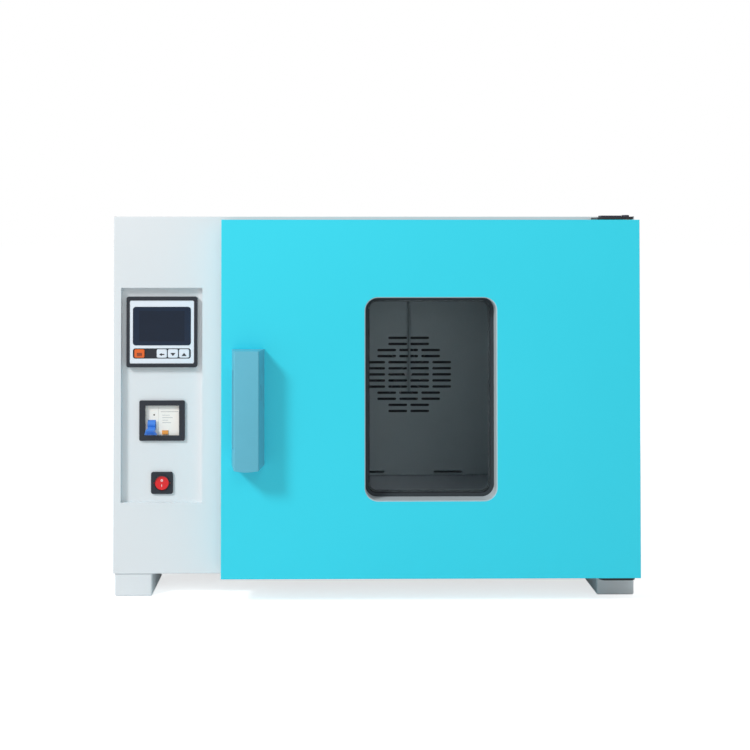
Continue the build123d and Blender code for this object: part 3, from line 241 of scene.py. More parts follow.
@dataclass(frozen=True)
class MouldedPlastic(Finish):
    """Injection-moulded ABS or polycarbonate with the fine spark grain of its mould."""

    name: str
    colour: str
    shade: str
    roughness: float = 0.4
    # Real spark grain is about 0.1 mm, finer than a pixel, so it is drawn coarser.
    grain_mm: float = 0.7
    grain_height_mm: float = 0.01
    gloss: float = 0.5
    coat: float = 0.0
    coat_roughness: float = 0.08
    patch_mm: float = 25.0

    def shader(self, tree: bpy.types.NodeTree) -> bpy.types.Node:
        """Make the plastic, glossier where coat is above 0."""
        bump = grain_bump(tree, self.grain_mm, self.grain_height_mm, 1.0)
        return add_node(tree, "ShaderNodeBsdfPrincipled",
                        {"Roughness": self.roughness, "IOR": 1.49, "Specular IOR Level": self.gloss,
                         "Coat Weight": self.coat, "Coat Roughness": self.coat_roughness},
                        {"Base Color": tinted(tree, self.colour, self.shade, self.patch_mm),
                         "Normal": bump.outputs[0]})


@dataclass(frozen=True)
class CastSilicone(Finish):
    """Extruded silicone or phenolic board: dull, with a dusty skin."""

    name: str
    colour: str
    shade: str
    roughness: float = 0.7
    # Coarser than a real skin, which no pixel would show.
    skin_mm: float = 1.1
    skin_height_mm: float = 0.02
    patch_mm: float = 14.0

    def shader(self, tree: bpy.types.NodeTree) -> bpy.types.Node:
        """Make the dull rubber."""
        bump = grain_bump(tree, self.skin_mm, self.skin_height_mm)
        return add_node(tree, "ShaderNodeBsdfPrincipled", {"Roughness": self.roughness, "IOR": 1.41},
                        {"Base Color": tinted(tree, self.colour, self.shade, self.patch_mm),
                         "Normal": bump.outputs[0]})


@dataclass(frozen=True)
class MineralWool(Finish):
    """Needled mineral wool: matted fibres a few millimetres long."""

    name: str = "mineral_wool_slab"
    colour: str = "d8cb9c"
    shade: str = "b3a473"
    fibre_mm: float = 3.0
    fibre_height_mm: float = 0.8
    fibre_length: tuple[float, float, float] = (6.0, 6.0, 1.0)
    patch_mm: float = 6.0

    def shader(self, tree: bpy.types.NodeTree) -> bpy.types.Node:
        """Make the fibrous slab."""
        bump = grain_bump(tree, self.fibre_mm, self.fibre_height_mm, 5.0, self.fibre_length)
        return add_node(tree, "ShaderNodeBsdfPrincipled", {"Roughness": 0.95},
                        {"Base Color": tinted(tree, self.colour, self.shade, self.patch_mm),
                         "Normal": bump.outputs[0]})


@dataclass(frozen=True)
class WindowGlass(Finish):
    """Heat-resisting soda-lime pane, slightly smoked, that lets the studio see the chamber."""

    name: str = "oven_window_glass"
    colour: str = "2c3a40"
    cover: float = 0.02
    cover_spread: float = 0.01
    film_mm: float = 35.0
    roughness: float = 0.03

    def shader(self, tree: bpy.types.NodeTree) -> bpy.types.Node:
        """Make a clear pane with a sharp reflection and a faint film of dust."""
        film = add_node(tree, "ShaderNodeTexNoise", {"Scale": per_metre(self.film_mm), "Detail": 4.0},
                        {"Vector": object_position(tree)})
        cover = add_node(tree, "ShaderNodeMapRange", {"To Min": self.cover - self.cover_spread,
                                                      "To Max": self.cover + self.cover_spread},
                         {"Value": film.outputs[0]})
        return add_node(tree, "ShaderNodeBsdfPrincipled",
                        {"Base Color": linear(self.colour), "Roughness": self.roughness, "IOR": 1.52},
                        {"Alpha": cover.outputs[0]})


@dataclass(frozen=True)
class MillSteel(Finish):
    """Stainless sheet as it leaves the mill: a dull, even grey with slow waves and no grain to see."""

    name: str
    colour: str = "bccace"
    shade: str = "b1c0c5"
    metallic: float = 0.45
    roughness: float = 0.5
    wave_mm: float = 90.0
    wave_height_mm: float = 0.25
    wave_length: tuple[float, float, float] = (1.6, 1.0, 1.0)
    patch_mm: float = 120.0

    def shader(self, tree: bpy.types.NodeTree) -> bpy.types.Node:
        """Make the sheet, with waves that bend its reflections a little."""
        bump = grain_bump(tree, self.wave_mm, self.wave_height_mm, 1.0, self.wave_length)
        return add_node(tree, "ShaderNodeBsdfPrincipled",
                        {"Metallic": self.metallic, "Roughness": self.roughness},
                        {"Base Color": tinted(tree, self.colour, self.shade, self.patch_mm),
                         "Normal": bump.outputs[0]})


GREY_PAINT = PowderCoat("powder_coat_light_grey", "e4e9ec", "e0e6e9")
TEAL_PAINT = PowderCoat("powder_coat_turquoise", "30dcf2", "2bd8ee", roughness=0.38)
SILVER_PAINT = PowderCoat("powder_coat_silver", "cbd6da", "c5d0d5", roughness=0.4, peel_mm=1.2)
BLACK_PAINT = PowderCoat("powder_coat_black", "17181b", "1c1d21", roughness=0.35)
MOTOR_PAINT = PowderCoat("motor_enamel", "33383d", "2c3035", roughness=0.5)
LINER_STEEL = MillSteel("stainless_liner_sheet")
ROD_STEEL = BrushedSteel("stainless_wire", "c3c7c9", "b9bdc0", grain_length=EVEN_GRAIN)
DARK_STEEL = BrushedSteel("phosphated_steel", "4b4b55", "3d3d47", roughness=0.45, grain_length=EVEN_GRAIN)
ZINC_STEEL = BrushedSteel("zinc_plated_steel", "c9ccd0", "b4b8be", grain_length=EVEN_GRAIN)
HEATER_STEEL = BrushedSteel("heater_sheath_steel", "6b645c", "4f4a45", roughness=0.5)
# Pale matt sheet for the chamber floor: painted light for the lamp light that falls on it through the
# window.
LIT_FLOOR_STEEL = MillSteel("floor_sheet_painted_light", "dde4ea", "d4dce4", metallic=0.1, roughness=0.6)
SENSOR_STEEL = MillSteel("sensor_sheath_steel", "b9c6c9", "b0bec1", metallic=0.3)
# Dark grey steel: painted shade on the liner's back wall behind the baffle, and the fan impeller's colour in
# the plenum.
PLENUM_STEEL_AND_SHADE = MillSteel("plenum_dark_steel_and_painted_shade", "34383d", "2b2e33")
BRASS = BrushedSteel("turned_brass", "c9a860", "bb9a52", grain_length=(1.0, 1.0, 8.0))
MAGNET = CastSilicone("ferrite_magnet", "2d2d30", "242427", 0.8)
HANDLE_PLASTIC = MouldedPlastic("moulded_teal_abs", "62b8cf", "5fb4cb", roughness=0.46)
BLACK_PLASTIC = MouldedPlastic("moulded_black_abs", "1a1f28", "212630", roughness=0.36)
WHITE_PLASTIC = MouldedPlastic("moulded_white_abs", "e9f0f8", "e3ebf4", roughness=0.42)
MODULE_PLASTIC = MouldedPlastic("moulded_ivory_polyamide", "fbf8f2", "f6f3ec", roughness=0.5)
ORANGE_PLASTIC = MouldedPlastic("moulded_orange_abs", "ec6b26", "e5621f", roughness=0.35)
AMBER_PLASTIC = MouldedPlastic("moulded_amber_abs", "eea24c", "e99b45", roughness=0.35)
BLUE_PLASTIC = MouldedPlastic("moulded_blue_polyamide", "3f86e6", "387ddd", roughness=0.35)
RED_PLASTIC = MouldedPlastic("moulded_red_polycarbonate", "e2141c", "d81018", roughness=0.3, coat=0.15)
DISPLAY_LENS = MouldedPlastic("smoked_display_lens", "1d2b40", "1b293d", roughness=0.18,
                              grain_height_mm=0.001, gloss=0.3)
SCREEN_FILM = MouldedPlastic("dark_screen_film", "162234", "142031", roughness=0.25, grain_height_mm=0.001,
                             gloss=0.3)
INK_BLACK = MouldedPlastic("printed_black_ink", "1d1f23", "25272b", roughness=0.55)
INK_WHITE = MouldedPlastic("printed_white_ink", "f4f6f6", "eef0f0", roughness=0.55)
INK_GREY = MouldedPlastic("printed_grey_ink", "9aa0a6", "90969d", roughness=0.55)
SEAL_SILICONE = CastSilicone("grey_silicone_seal", "343c41", "2e3539")
GASKET_SILICONE = CastSilicone("door_gasket_silicone", "5e6468", "565c60")
THROAT_BOARD = CastSilicone("phenolic_throat_board", "3a3630", "433e37", 0.75)
WOOL = MineralWool()
GLASS = WindowGlass()


def dress(node: str, finish: Finish) -> bpy.types.Object:
    """Give a CAD node its finish.

    Args:
        node: The node's name.
        finish: The finish it gets.

    Returns:
        The node's object.
    """
    piece = frame["nodes"][node]
    piece.data.materials.clear()
    piece.data.materials.append(finish.material())
    shade_smooth(piece)
    LOG.info("%s: %s", node, finish.name)
    return piece


def shade_smooth(piece: bpy.types.Object, angle_deg: float = 30.0) -> None:
    """Shade a piece smoothly where it bends gently and sharply at its edges.

    Args:
        piece: The object.
        angle_deg: The bend from which an edge counts as sharp.
    """
    weld = piece.modifiers.new("weld_corners", "WELD")
    weld.merge_threshold = WELD_M
    for polygon in piece.data.polygons:
        polygon.use_smooth = True
    split = piece.modifiers.new("sharp_edges", "EDGE_SPLIT")
    split.split_angle = math.radians(angle_deg)


def soften(piece: bpy.types.Object, width_mm: float, segments: int = 2, angle_deg: float = 40.0) -> None:
    """Round a piece's edges as its tool or its paint does.

    Args:
        piece: The object.
        width_mm: Width of the rounding.
        segments: Steps across the rounding.
        angle_deg: The bend from which an edge is rounded.
    """
    bevel = piece.modifiers.new("soft_edges", "BEVEL")
    bevel.width = width_mm * MM
    bevel.segments = segments
    bevel.limit_method = "ANGLE"
    bevel.angle_limit = math.radians(angle_deg)
    last = len(piece.modifiers) - 1
    piece.modifiers.move(last, max(0, last - 1))


def mesh_piece(name: str, builder: bmesh.types.BMesh, body: str, finish: Finish) -> bpy.types.Object:
    """Turn a bmesh into a piece that rides on a body.

    Args:
        name: The piece's name.
        builder: The mesh, in metres in the oven's frame. It is freed.
        body: The body that carries the piece.
        finish: The piece's finish.

    Returns:
        The new object.
    """
    mesh = bpy.data.meshes.new(name)
    bmesh.ops.recalc_face_normals(builder, faces=builder.faces)
    builder.to_mesh(mesh)
    builder.free()
    piece = bpy.data.objects.new(name, mesh)
    bpy.context.scene.collection.objects.link(piece)
    mesh.materials.append(finish.material())
    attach(piece, body)
    LOG.info("%s: new piece on %s", name, body)
    return piece


def prism(builder: bmesh.types.BMesh, outline: list[tuple[float, float]], front: float, depth: float,
          place: Matrix | None = None) -> None:
    """Add an upright plate with any outline, seen from the front.

    Args:
        builder: The mesh that gets the plate.
        outline: The outline's points as X and Z in metres, anticlockwise as seen from the front.
        front: Y of the front face.
        depth: How far the plate reaches back.
        place: Moves the plate after it is made.
    """
    rings = []
    for y in (front, front + depth):
        points = [Vector((x, y, z)) for x, z in outline]
        rings.append([builder.verts.new(place @ p if place else p) for p in points])
    builder.faces.new(rings[0])
    builder.faces.new(list(reversed(rings[1])))
    for i in range(len(outline)):
        k = (i + 1) % len(outline)
        builder.faces.new((rings[0][k], rings[0][i], rings[1][i], rings[1][k]))


def hoop(builder: bmesh.types.BMesh, centre: tuple[float, float], radii: tuple[float, float], front: float,
         depth: float, place: Matrix | None = None, steps: int = 24) -> None:
    """Add an upright flat ring.

    Args:
        builder: The mesh that gets the ring.
        centre: X and Z of the middle, in metres.
        radii: Inner and outer radius.
        front: Y of the front face.
        depth: How far the ring reaches back.
        place: Moves the ring after it is made.
        steps: Corners round the ring.
    """
    loops = []
    back = front + depth
    for y, radius in ((front, radii[0]), (front, radii[1]), (back, radii[1]), (back, radii[0])):
        points = [Vector((x, y, z)) for x, z in disc_outline(centre, radius, steps)]
        loops.append([builder.verts.new(place @ p if place else p) for p in points])
    for a, b in zip(loops, loops[1:] + loops[:1]):
        for i in range(steps):
            k = (i + 1) % steps
            builder.faces.new((a[i], a[k], b[k], b[i]))


def disc_outline(centre: tuple[float, float], radius: float, steps: int = 24) -> list[tuple[float, float]]:
    """Give the points of a circle as X and Z."""
    angles = [2 * math.pi * i / steps for i in range(steps)]
    return [(centre[0] + radius * math.cos(a), centre[1] + radius * math.sin(a)) for a in angles]


def bar_outline(centre: tuple[float, float], width: float, height: float) -> list[tuple[float, float]]:
    """Give the corners of an upright rectangle as X and Z."""
    x, z = centre
    half_w, half_h = width / 2, height / 2
    return [(x - half_w, z - half_h), (x + half_w, z - half_h),
            (x + half_w, z + half_h), (x - half_w, z + half_h)]


def joint_place(name: str) -> Vector:
    """Give the point that a joint's axis passes through."""
    return Vector(next(joint["pos_m"] for joint in frame["joints"] if joint["name"] == name))


def middle(node: str) -> Vector:
    """Give the middle of a CAD node's box."""
    low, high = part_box(node)
    return (Vector(low) + Vector(high)) / 2


@dataclass
class Cabinet:
    """Outer shell, feet and the covers at the back."""

    painted: tuple[str, ...] = ("front_panel", "outer_wrap", "base_pan", "rear_panel", "motor_cover",
                                "control_panel", "feet")

    def build(self) -> None:
        """Paint the sheets and plate the fasteners."""
        for node in self.painted:
            dress(node, GREY_PAINT)
        for node in ("foot_screws", "cabinet_screws", "partition_panel", "motor_bracket", "din_rail"):
            dress(node, ZINC_STEEL)
        dress("cable_gland", BLACK_PLASTIC)
        dress("vent_collar", LINER_STEEL)
        dress("vent_damper", BLACK_PLASTIC)
        dress("solid_state_relay", BLACK_PLASTIC)
        dress("terminal_block", MODULE_PLASTIC)


@dataclass
class Chamber:
    """Stainless chamber with its baffle, shelf, fan and heater."""

    floor_facing: float = 0.9

    def shade_the_back(self, liner: bpy.types.Object) -> None:
        """Darken the liner's back wall behind the baffle with painted shade, so the plenum looks dark
        through the baffle's slots.

        Args:
            liner: The dressed liner.
        """
        liner.data.materials.append(PLENUM_STEEL_AND_SHADE.material())
        baffle_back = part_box("air_baffle")[1].y
        # Painted shade: faces behind the baffle get the dark grey.
        for polygon in liner.data.polygons:
            if (liner.matrix_world @ polygon.center).y > baffle_back:
                polygon.material_index = 1

    def light_the_floor(self, liner: bpy.types.Object) -> None:
        """Paint light on the liner's floor: a matt, pale sheet that stands for the lamp light falling on it
        through the window.

        Args:
            liner: The dressed liner, which already has two finishes.
        """
        liner.data.materials.append(LIT_FLOOR_STEEL.material())
        mid_height = middle("chamber_liner").z
        # Painted light: upward faces in the lower half of the liner get the pale sheet.
        for polygon in liner.data.polygons:
            faces_up = polygon.normal.z > self.floor_facing
            if faces_up and (liner.matrix_world @ polygon.center).z < mid_height:
                polygon.material_index = 2

    def build(self) -> None:
        """Dress the chamber's pieces."""
        dress("air_baffle", LINER_STEEL)
        liner = dress("chamber_liner", LINER_STEEL)
        self.shade_the_back(liner)
        self.light_the_floor(liner)
        for node in ("shelf_rail_left", "shelf_rail_right", "wire_shelf"):
            dress(node, ROD_STEEL)
        dress("temperature_sensor", SENSOR_STEEL)
        dress("throat_frame", THROAT_BOARD)
        dress("chamber_insulation", WOOL)
        dress("fan_impeller", PLENUM_STEEL_AND_SHADE)
        dress("fan_shaft", ZINC_STEEL)
        dress("fan_motor", MOTOR_PAINT)
        dress("heater_element", HEATER_STEEL)


@dataclass
class Door:
    """Door with its window, handle, gasket and hinges."""

    strip_mm: float = 2.4
    strip_inset_mm: float = 3.0
    strip_depth_mm: float = 14.0
    strip_margin_mm: float = 1.0
    strip_gap_mm: float = 2.7
    tab_ratio: float = 0.5
    washer_mm: float = 0.9
    washer_play_mm: float = 0.1
    tooth_mm: float = 0.9
    tooth_count: int = 12
    steps_per_tooth: int = 4
    hidden_facing: float = -0.5

    def toothed_washer(self) -> None:
        """Lay a toothed lock washer round the head of the top hinge pin."""
        low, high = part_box("hinge_pins")
        inner = (high.x - low.x) / 2 + self.washer_play_mm * MM
        steps = self.steps_per_tooth * self.tooth_count
        outline = []
        for step in range(steps):
            angle = 2 * math.pi * step / steps
            on_crest = step % self.steps_per_tooth < self.steps_per_tooth / 2
            radius = inner + self.tooth_mm * (2 if on_crest else 1) * MM
            outline.append((radius * math.cos(angle), radius * math.sin(angle)))
        top = Vector(((low.x + high.x) / 2, (low.y + high.y) / 2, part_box("hinge_bracket_top")[1].z))
        lay_flat = Matrix.Translation(top) @ Matrix.Rotation(math.radians(90), 4, "X")
        builder = bmesh.new()
        rings = []
        for height in (0.0, self.washer_mm * MM):
            edge = [builder.verts.new(lay_flat @ Vector((x, height, z))) for x, z in outline]
            bore = [builder.verts.new(lay_flat @ Vector((x, height, z)))
                    for x, z in disc_outline((0.0, 0.0), inner, len(outline))]
            rings.append((edge, bore))
        (edge_0, bore_0), (edge_1, bore_1) = rings
        for a, b in ((edge_0, edge_1), (edge_1, bore_1), (bore_1, bore_0), (bore_0, edge_0)):
            for i in range(len(outline)):
                k = (i + 1) % len(outline)
                builder.faces.new((a[i], a[k], b[k], b[i]))
        mesh_piece("hinge_washer", builder, "cabinet", DARK_STEEL)

    def cover_strip(self) -> None:
        """Lay the phosphated strip on the top hinge plate, with its tab at the far side of the pin."""
        low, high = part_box("hinge_bracket_top")
        pin_low, pin_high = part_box("hinge_pins")
        thick = min(self.strip_mm * MM, CAD_BOX[1][2] - high.z)
        gap = self.strip_gap_mm * MM
        margin = self.strip_margin_mm * MM
        builder = bmesh.new()
        for left, right, height in ((low.x + self.strip_inset_mm * MM, pin_low.x - gap, thick),
                                    (pin_high.x + gap, high.x - margin, thick * self.tab_ratio)):
            outline = [(left, high.z), (right, high.z), (right, high.z + height), (left, high.z + height)]
            prism(builder, outline, low.y + margin, self.strip_depth_mm * MM)
        mesh_piece("hinge_strip", builder, "cabinet", DARK_STEEL)

    def darken_panel_front(self, panel: bpy.types.Object) -> None:
        """Darken the inner panel's front-facing faces with the seal's colour, which takes away a light line
        round the inner pane.

        Args:
            panel: The dressed inner panel.
        """
        panel.data.materials.append(SEAL_SILICONE.material())
        # The front-facing faces get the seal's dark grey instead of the panel's steel.
        for polygon in panel.data.polygons:
            if polygon.normal.y < self.hidden_facing:
                polygon.material_index = 1

    def build(self) -> None:
        """Dress the door's pieces."""
        dress("door_skin", TEAL_PAINT)
        self.darken_panel_front(dress("door_inner_panel", LINER_STEEL))
        dress("door_insulation", WOOL)
        dress("window_frame", SILVER_PAINT)
        dress("glass_seals", SEAL_SILICONE)
        dress("outer_glass", GLASS)
        dress("inner_glass", GLASS)
        dress("door_gasket", GASKET_SILICONE)
        soften(dress("door_handle", HANDLE_PLASTIC), 1.2, 3)
        dress("handle_screws", ZINC_STEEL)
        dress("strike_plates", ZINC_STEEL)
        dress("door_magnets", MAGNET)
        dress("hinge_bushes", BRASS)
        dress("hinge_pins", DARK_STEEL)
        for node in ("hinge_bracket_top", "hinge_bracket_bottom"):
            dress(node, BLACK_PAINT)
        self.toothed_washer()
        self.cover_strip()


class Symbol(Enum):
    """Signs that the controller's keys carry."""

    MENU = "menu"
    LEFT = "left"
    DOWN = "down"
    UP = "up"


@dataclass
class Controls:
    """Controller, breaker window and rocker switch."""

    ink_mm: float = 0.12
    symbol_width_mm: float = 7.0
    symbol_height_mm: float = 4.2
    symbol_drop_mm: float = 1.3
    menu_spread: float = 0.8
    menu_stroke: float = 0.42
    arrow_stroke: float = 0.7
    screen_inset_mm: tuple[float, float] = (8.5, 5.5)
    pointer_radius_mm: float = 1.1
    pointer_offset_mm: float = 3.0
    pointer_drop_mm: float = 20.0
    heading_size_mm: tuple[float, float] = (24.0, 0.5)
    heading_place_mm: tuple[float, float] = (15.0, 15.8)
    rule_widths_mm: tuple[float, ...] = (10.0, 14.0, 8.0, 12.0)
    rule_height_mm: float = 0.45
    rule_left_mm: float = 5.0
    rule_drop_mm: float = 20.5
    rule_pitch_mm: float = 3.4
    mark_rise_mm: float = 3.4
    mark_radius_mm: float = 1.5
    mark_width_mm: float = 0.7
    mark_proud_mm: float = 0.15
    mark_depth_mm: float = 0.4
    rocker_tilt_deg: float = -8.0
    rocker_dish_mm: float = 2.2
    lever_slope_deg: float = 45.0
    grip_flare_mm: float = 3.2
    grip_start_mm: float = 0.6
    grip_reach_mm: float = 11.0
    grip_proud_mm: float = 0.2
    grip_thick_mm: float = 2.0
    grip_ribs: int = 3
    rib_pitch_mm: float = 2.2
    rib_height_mm: float = 0.8
    rib_proud_mm: float = 0.7
    rib_depth_mm: float = 0.8
    lug_rise_mm: float = 3.0
    lug_gap_mm: float = 1.3
    lug_width_mm: float = 1.4
    lug_height_mm: float = 11.0
    lug_proud_mm: float = 1.5
    lug_depth_mm: float = 1.6

    def symbol_outlines(self, symbol: Symbol, x: float, z: float) -> list[list[tuple[float, float]]]:
        """Draw one key's sign.

        Args:
            symbol: Which sign.
            x: X of its middle, in metres.
            z: Z of its middle.

        Returns:
            The outlines of its strokes.
        """
        w = self.symbol_width_mm * MM / 2
        h = self.symbol_height_mm * MM / 2
        if symbol is Symbol.MENU:
            return [bar_outline((x, z + step * h * self.menu_spread), 2 * w, h * self.menu_stroke)
                    for step in (-1, 0, 1)]
        if symbol is Symbol.LEFT:
            shaft = bar_outline((x + w / 2, z), w, h * self.arrow_stroke)
            return [[(x - w, z), (x, z - h), (x, z + h)], shaft]
        if symbol is Symbol.DOWN:
            return [[(x - w, z + h), (x, z - h), (x + w, z + h)]]
        return [[(x - w, z - h), (x + w, z - h), (x, z + h)]]

    def key_symbols(self) -> None:
        """Print a sign on the lower half of each key."""
        signs = {"key_set": Symbol.MENU, "key_shift": Symbol.LEFT,
                 "key_down": Symbol.DOWN, "key_up": Symbol.UP}
        for key, symbol in signs.items():
            centre = middle(key)
            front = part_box(key)[0].y - self.ink_mm * MM
            builder = bmesh.new()
            for outline in self.symbol_outlines(symbol, centre.x, centre.z - self.symbol_drop_mm * MM):
                prism(builder, outline, front, 2 * self.ink_mm * MM)
            mesh_piece(key + "_sign", builder, key, INK_BLACK)

    def screen(self) -> None:
        """Lay the darker screen behind the lens on the display."""
        low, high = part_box("display_window")
        inset_x, inset_z = (value * MM for value in self.screen_inset_mm)
        centre = ((low.x + high.x) / 2, (low.z + high.z) / 2)
        builder = bmesh.new()
        prism(builder, bar_outline(centre, high.x - low.x - 2 * inset_x, high.z - low.z - 2 * inset_z),
              low.y - self.ink_mm * MM / 2, self.ink_mm * MM)
        mesh_piece("display_screen", builder, "cabinet", SCREEN_FILM)

    def rocker_marks(self) -> None:
        """Raise the off ring and the on bar from the rocker's dished front."""
        centre = joint_place("rocker_tilt")
        turn = Matrix.Translation(centre) @ Matrix.Rotation(math.radians(self.rocker_tilt_deg), 4, "X")
        builder = bmesh.new()
        front = -(self.rocker_dish_mm + self.mark_proud_mm) * MM
        depth = self.mark_depth_mm * MM
        rise = self.mark_rise_mm * MM
        outer = self.mark_radius_mm * MM
        stroke = self.mark_width_mm * MM
        hoop(builder, (0.0, rise), (outer - stroke, outer), front, depth, turn)
        prism(builder, bar_outline((0.0, -rise), stroke, 2 * outer), front, depth, turn)
        mesh_piece("rocker_marks", builder, "power_rocker", INK_WHITE)

    def breaker_marks(self) -> None:
        """Print the pointer dot on the pole and the ruled lines on the leakage module."""
        low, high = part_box("breaker_body")
        face = low.y - self.ink_mm * MM / 2
        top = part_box("breaker_bezel")[1].z
        builder = bmesh.new()
        dot = ((low.x + high.x) / 2 + self.pointer_offset_mm * MM, top - self.pointer_drop_mm * MM)
        prism(builder, disc_outline(dot, self.pointer_radius_mm * MM), face, self.ink_mm * MM)
        mesh_piece("pole_pointer", builder, "cabinet", INK_BLACK)
        builder = bmesh.new()
        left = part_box("leakage_module")[0].x
        across, drop = self.heading_place_mm
        width, height = self.heading_size_mm
        heading = bar_outline((left + across * MM, top - drop * MM), width * MM, height * MM)
        prism(builder, heading, face, self.ink_mm * MM)
        for row, width in enumerate(self.rule_widths_mm):
            centre = (left + (self.rule_left_mm + width / 2) * MM,
                      top - (self.rule_drop_mm + self.rule_pitch_mm * row) * MM)
            prism(builder, bar_outline(centre, width * MM, self.rule_height_mm * MM), face,
                  self.ink_mm * MM)
        mesh_piece("module_rules", builder, "cabinet", INK_GREY)

    def lever_grip(self) -> None:
        """Flare the lever's end and rib it, as a finger finds it."""
        low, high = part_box("breaker_lever")
        x = (low.x + high.x) / 2
        root_half = (high.x - low.x) / 2
        tip_half = root_half + self.grip_flare_mm * MM
        lean = Matrix.Rotation(math.radians(self.lever_slope_deg), 4, "X")
        slope = Matrix.Translation((x, low.y, low.z)) @ lean
        builder = bmesh.new()
        start = self.grip_start_mm * MM
        reach = self.grip_reach_mm * MM
        outline = [(-tip_half, start), (tip_half, start), (root_half, reach), (-root_half, reach)]
        prism(builder, outline, -self.grip_proud_mm * MM, self.grip_thick_mm * MM, slope)
        for rib in range(self.grip_ribs):
            z = self.rib_pitch_mm * (rib + 1) * MM
            ridge = bar_outline((0.0, z), 2 * root_half, self.rib_height_mm * MM)
            prism(builder, ridge, -self.rib_proud_mm * MM, self.rib_depth_mm * MM, slope)
        mesh_piece("lever_grip", builder, "breaker_lever", BLUE_PLASTIC)

    def lever_surround(self) -> None:
        """Stand the pale lugs of the pole at both sides of the lever."""
        low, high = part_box("breaker_lever")
        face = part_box("breaker_body")[0].y
        z = middle("breaker_lever").z + self.lug_rise_mm * MM
        builder = bmesh.new()
        for side, edge in ((-1, low.x), (1, high.x)):
            centre = (edge + side * self.lug_gap_mm * MM, z)
            lug = bar_outline(centre, self.lug_width_mm * MM, self.lug_height_mm * MM)
            prism(builder, lug, face - self.lug_proud_mm * MM, self.lug_depth_mm * MM)
        mesh_piece("lever_lugs", builder, "cabinet", MODULE_PLASTIC)

    def build(self) -> None:
        """Dress the instruments and print their signs."""
        for node in ("controller_bezel", "controller_body", "breaker_bezel", "rocker_housing"):
            dress(node, BLACK_PLASTIC)
        dress("controller_face", WHITE_PLASTIC)
        dress("display_window", DISPLAY_LENS)
        dress("key_set", ORANGE_PLASTIC)
        for node in ("key_shift", "key_down", "key_up"):
            dress(node, WHITE_PLASTIC)
        for node in ("breaker_body", "leakage_module"):
            dress(node, MODULE_PLASTIC)
        dress("breaker_lever", BLUE_PLASTIC)
        dress("test_button", AMBER_PLASTIC)
        dress("power_rocker", RED_PLASTIC)
        self.key_symbols()
        self.screen()
        self.rocker_marks()
        self.breaker_marks()
        self.lever_grip()
        self.lever_surround()


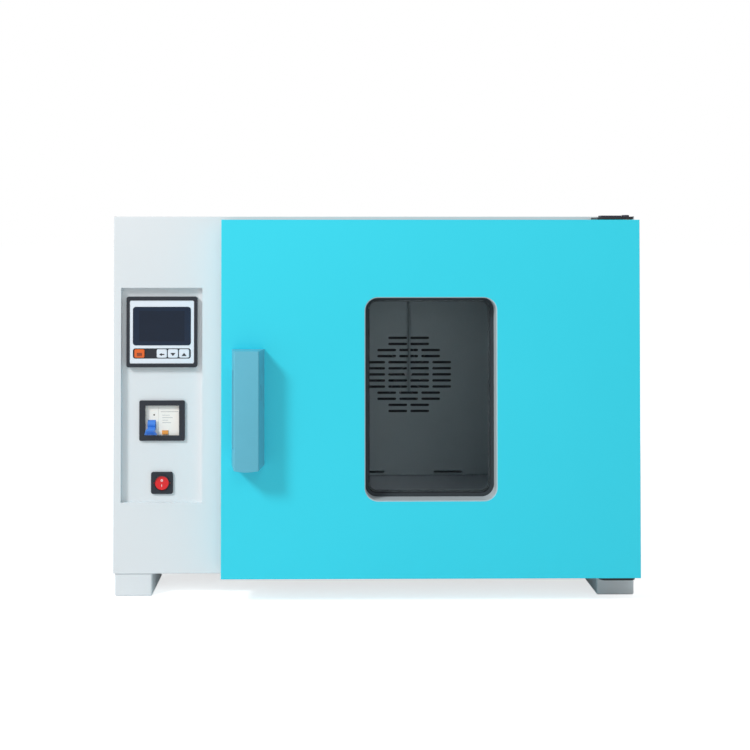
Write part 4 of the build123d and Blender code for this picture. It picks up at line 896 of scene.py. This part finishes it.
@dataclass
class Studio:
    """Camera, soft lamps, white surroundings and a pale floor."""

    eye_x_mm: float = -67.4
    eye_z_mm: float = 483.8
    eye_distance_mm: float = 1536.8
    turn_deg: float = -0.59
    tilt_deg: float = 0.89
    focal_px: float = 1127.7
    sensor_mm: float = 36.0
    image_px: float = 750.0
    vanish_x_px: float = 336.9
    vanish_y_px: float = 221.9
    light_travel: tuple[float, float, float] = (40.0, 32.0, -38.0)
    light_distance_m: float = 5.0
    target_height_m: float = 0.27
    light_size_m: float = 1.05
    light_watts: float = 141.0
    front_travel: tuple[float, float, float] = (-4.0, 32.0, -23.0)
    front_size_m: float = 2.2
    front_watts: float = 25.0
    ambient: float = 0.388
    pane_passes: int = 24
    floor_reach_m: float = 80.0
    floor_glow: float = 0.66
    floor_colour: str = "f2f4f5"

    def build(self) -> None:
        """Set up the camera, the lamps, the world and the floor."""
        self.camera()
        self.lamps()
        self.world()
        self.floor()
        bpy.context.scene.view_settings.view_transform = "Standard"
        # A ray that goes in and out through both panes passes eight of their faces, which is all of the
        # default limit, so the limit is raised.
        bpy.context.scene.cycles.transparent_max_bounces = self.pane_passes

    def camera(self) -> None:
        """Stand the camera in front of the oven, almost level, shifted down as a lens with rise and fall."""
        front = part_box("front_panel")[0].y
        data = bpy.data.cameras.new("camera")
        data.sensor_width = self.sensor_mm
        data.lens = self.focal_px / self.image_px * self.sensor_mm
        data.shift_x = (self.image_px / 2 - self.vanish_x_px) / self.image_px
        data.shift_y = (self.vanish_y_px - self.image_px / 2) / self.image_px
        camera = bpy.data.objects.new("camera", data)
        camera.location = (self.eye_x_mm * MM, front - self.eye_distance_mm * MM, self.eye_z_mm * MM)
        camera.rotation_euler = Euler((math.radians(90 + self.tilt_deg), 0, math.radians(self.turn_deg)))
        bpy.context.scene.collection.objects.link(camera)
        bpy.context.scene.camera = camera

    def lamps(self) -> None:
        """Hang the key lamp up and to the left, as the handle's shadow shows, and a wide one in front."""
        self.lamp("key_lamp", self.light_travel, self.light_size_m, self.light_watts)
        self.lamp("front_lamp", self.front_travel, self.front_size_m, self.front_watts)

    def lamp(self, name: str, light_travel: tuple[float, float, float], size_m: float, watts: float) -> None:
        """Hang one round soft lamp that points at the door.

        Args:
            name: The lamp's name.
            light_travel: The direction in which its light goes.
            size_m: Its diameter.
            watts: Its power.
        """
        target = Vector((0.0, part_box("door_skin")[0].y, self.target_height_m))
        travel = Vector(light_travel).normalized()
        data = bpy.data.lights.new(name, "AREA")
        data.shape = "DISK"
        data.size = size_m
        data.energy = watts
        lamp = bpy.data.objects.new(name, data)
        lamp.location = target - travel * self.light_distance_m
        lamp.rotation_mode = "QUATERNION"
        lamp.rotation_quaternion = travel.to_track_quat("-Z", "Y")
        bpy.context.scene.collection.objects.link(lamp)

    def world(self) -> None:
        """Light evenly from all round, and show plain white to the camera, to gloss and through glass."""
        world = bpy.data.worlds.new("studio_white")
        world.use_nodes = True
        tree = world.node_tree
        tree.nodes.clear()
        path = add_node(tree, "ShaderNodeLightPath")
        direct = add_node(tree, "ShaderNodeMath", {"operation": "MAXIMUM"},
                          {0: path.outputs["Is Camera Ray"], 1: path.outputs["Is Transmission Ray"]})
        seen = add_node(tree, "ShaderNodeMath", {"operation": "MAXIMUM"},
                        {0: direct.outputs[0], 1: path.outputs["Is Glossy Ray"]})
        strength = add_node(tree, "ShaderNodeMapRange", {"To Min": self.ambient, "To Max": 1.0},
                            {"Value": seen.outputs[0]})
        glow = add_node(tree, "ShaderNodeBackground", {"Color": (1.0, 1.0, 1.0, 1.0)},
                        {"Strength": strength.outputs[0]})
        add_node(tree, "ShaderNodeOutputWorld", links={"Surface": glow.outputs[0]})
        bpy.context.scene.world = world

    def floor(self) -> None:
        """Lay a pale floor that goes to white away from the oven's shadow."""
        builder = bmesh.new()
        bmesh.ops.create_grid(builder, x_segments=1, y_segments=1, size=self.floor_reach_m)
        mesh = bpy.data.meshes.new("studio_floor")
        builder.to_mesh(mesh)
        builder.free()
        floor = bpy.data.objects.new("studio_floor", mesh)
        bpy.context.scene.collection.objects.link(floor)
        material = bpy.data.materials.new("studio_floor_paint")
        material.use_nodes = True
        tree = material.node_tree
        tree.nodes.clear()
        paint = add_node(tree, "ShaderNodeBsdfDiffuse", {"Color": linear(self.floor_colour)})
        glow = add_node(tree, "ShaderNodeEmission",
                        {"Color": (1.0, 1.0, 1.0, 1.0), "Strength": self.floor_glow})
        both = add_node(tree, "ShaderNodeAddShader", links={0: paint.outputs[0], 1: glow.outputs[0]})
        path = add_node(tree, "ShaderNodeLightPath")
        shown = add_node(tree, "ShaderNodeMixShader", links={0: path.outputs["Is Camera Ray"],
                                                            1: paint.outputs[0], 2: both.outputs[0]})
        add_node(tree, "ShaderNodeOutputMaterial", links={"Surface": shown.outputs[0]})
        mesh.materials.append(material)


def main() -> None:
    """Build the oven's looks and its studio in order."""
    logging.basicConfig(level=logging.INFO, format="%(name)s %(message)s")
    for part in (Cabinet(), Chamber(), Door(), Controls(), Studio()):
        part.build()
        LOG.info("built %s", type(part).__name__)


if __name__ == "__main__":
    main()
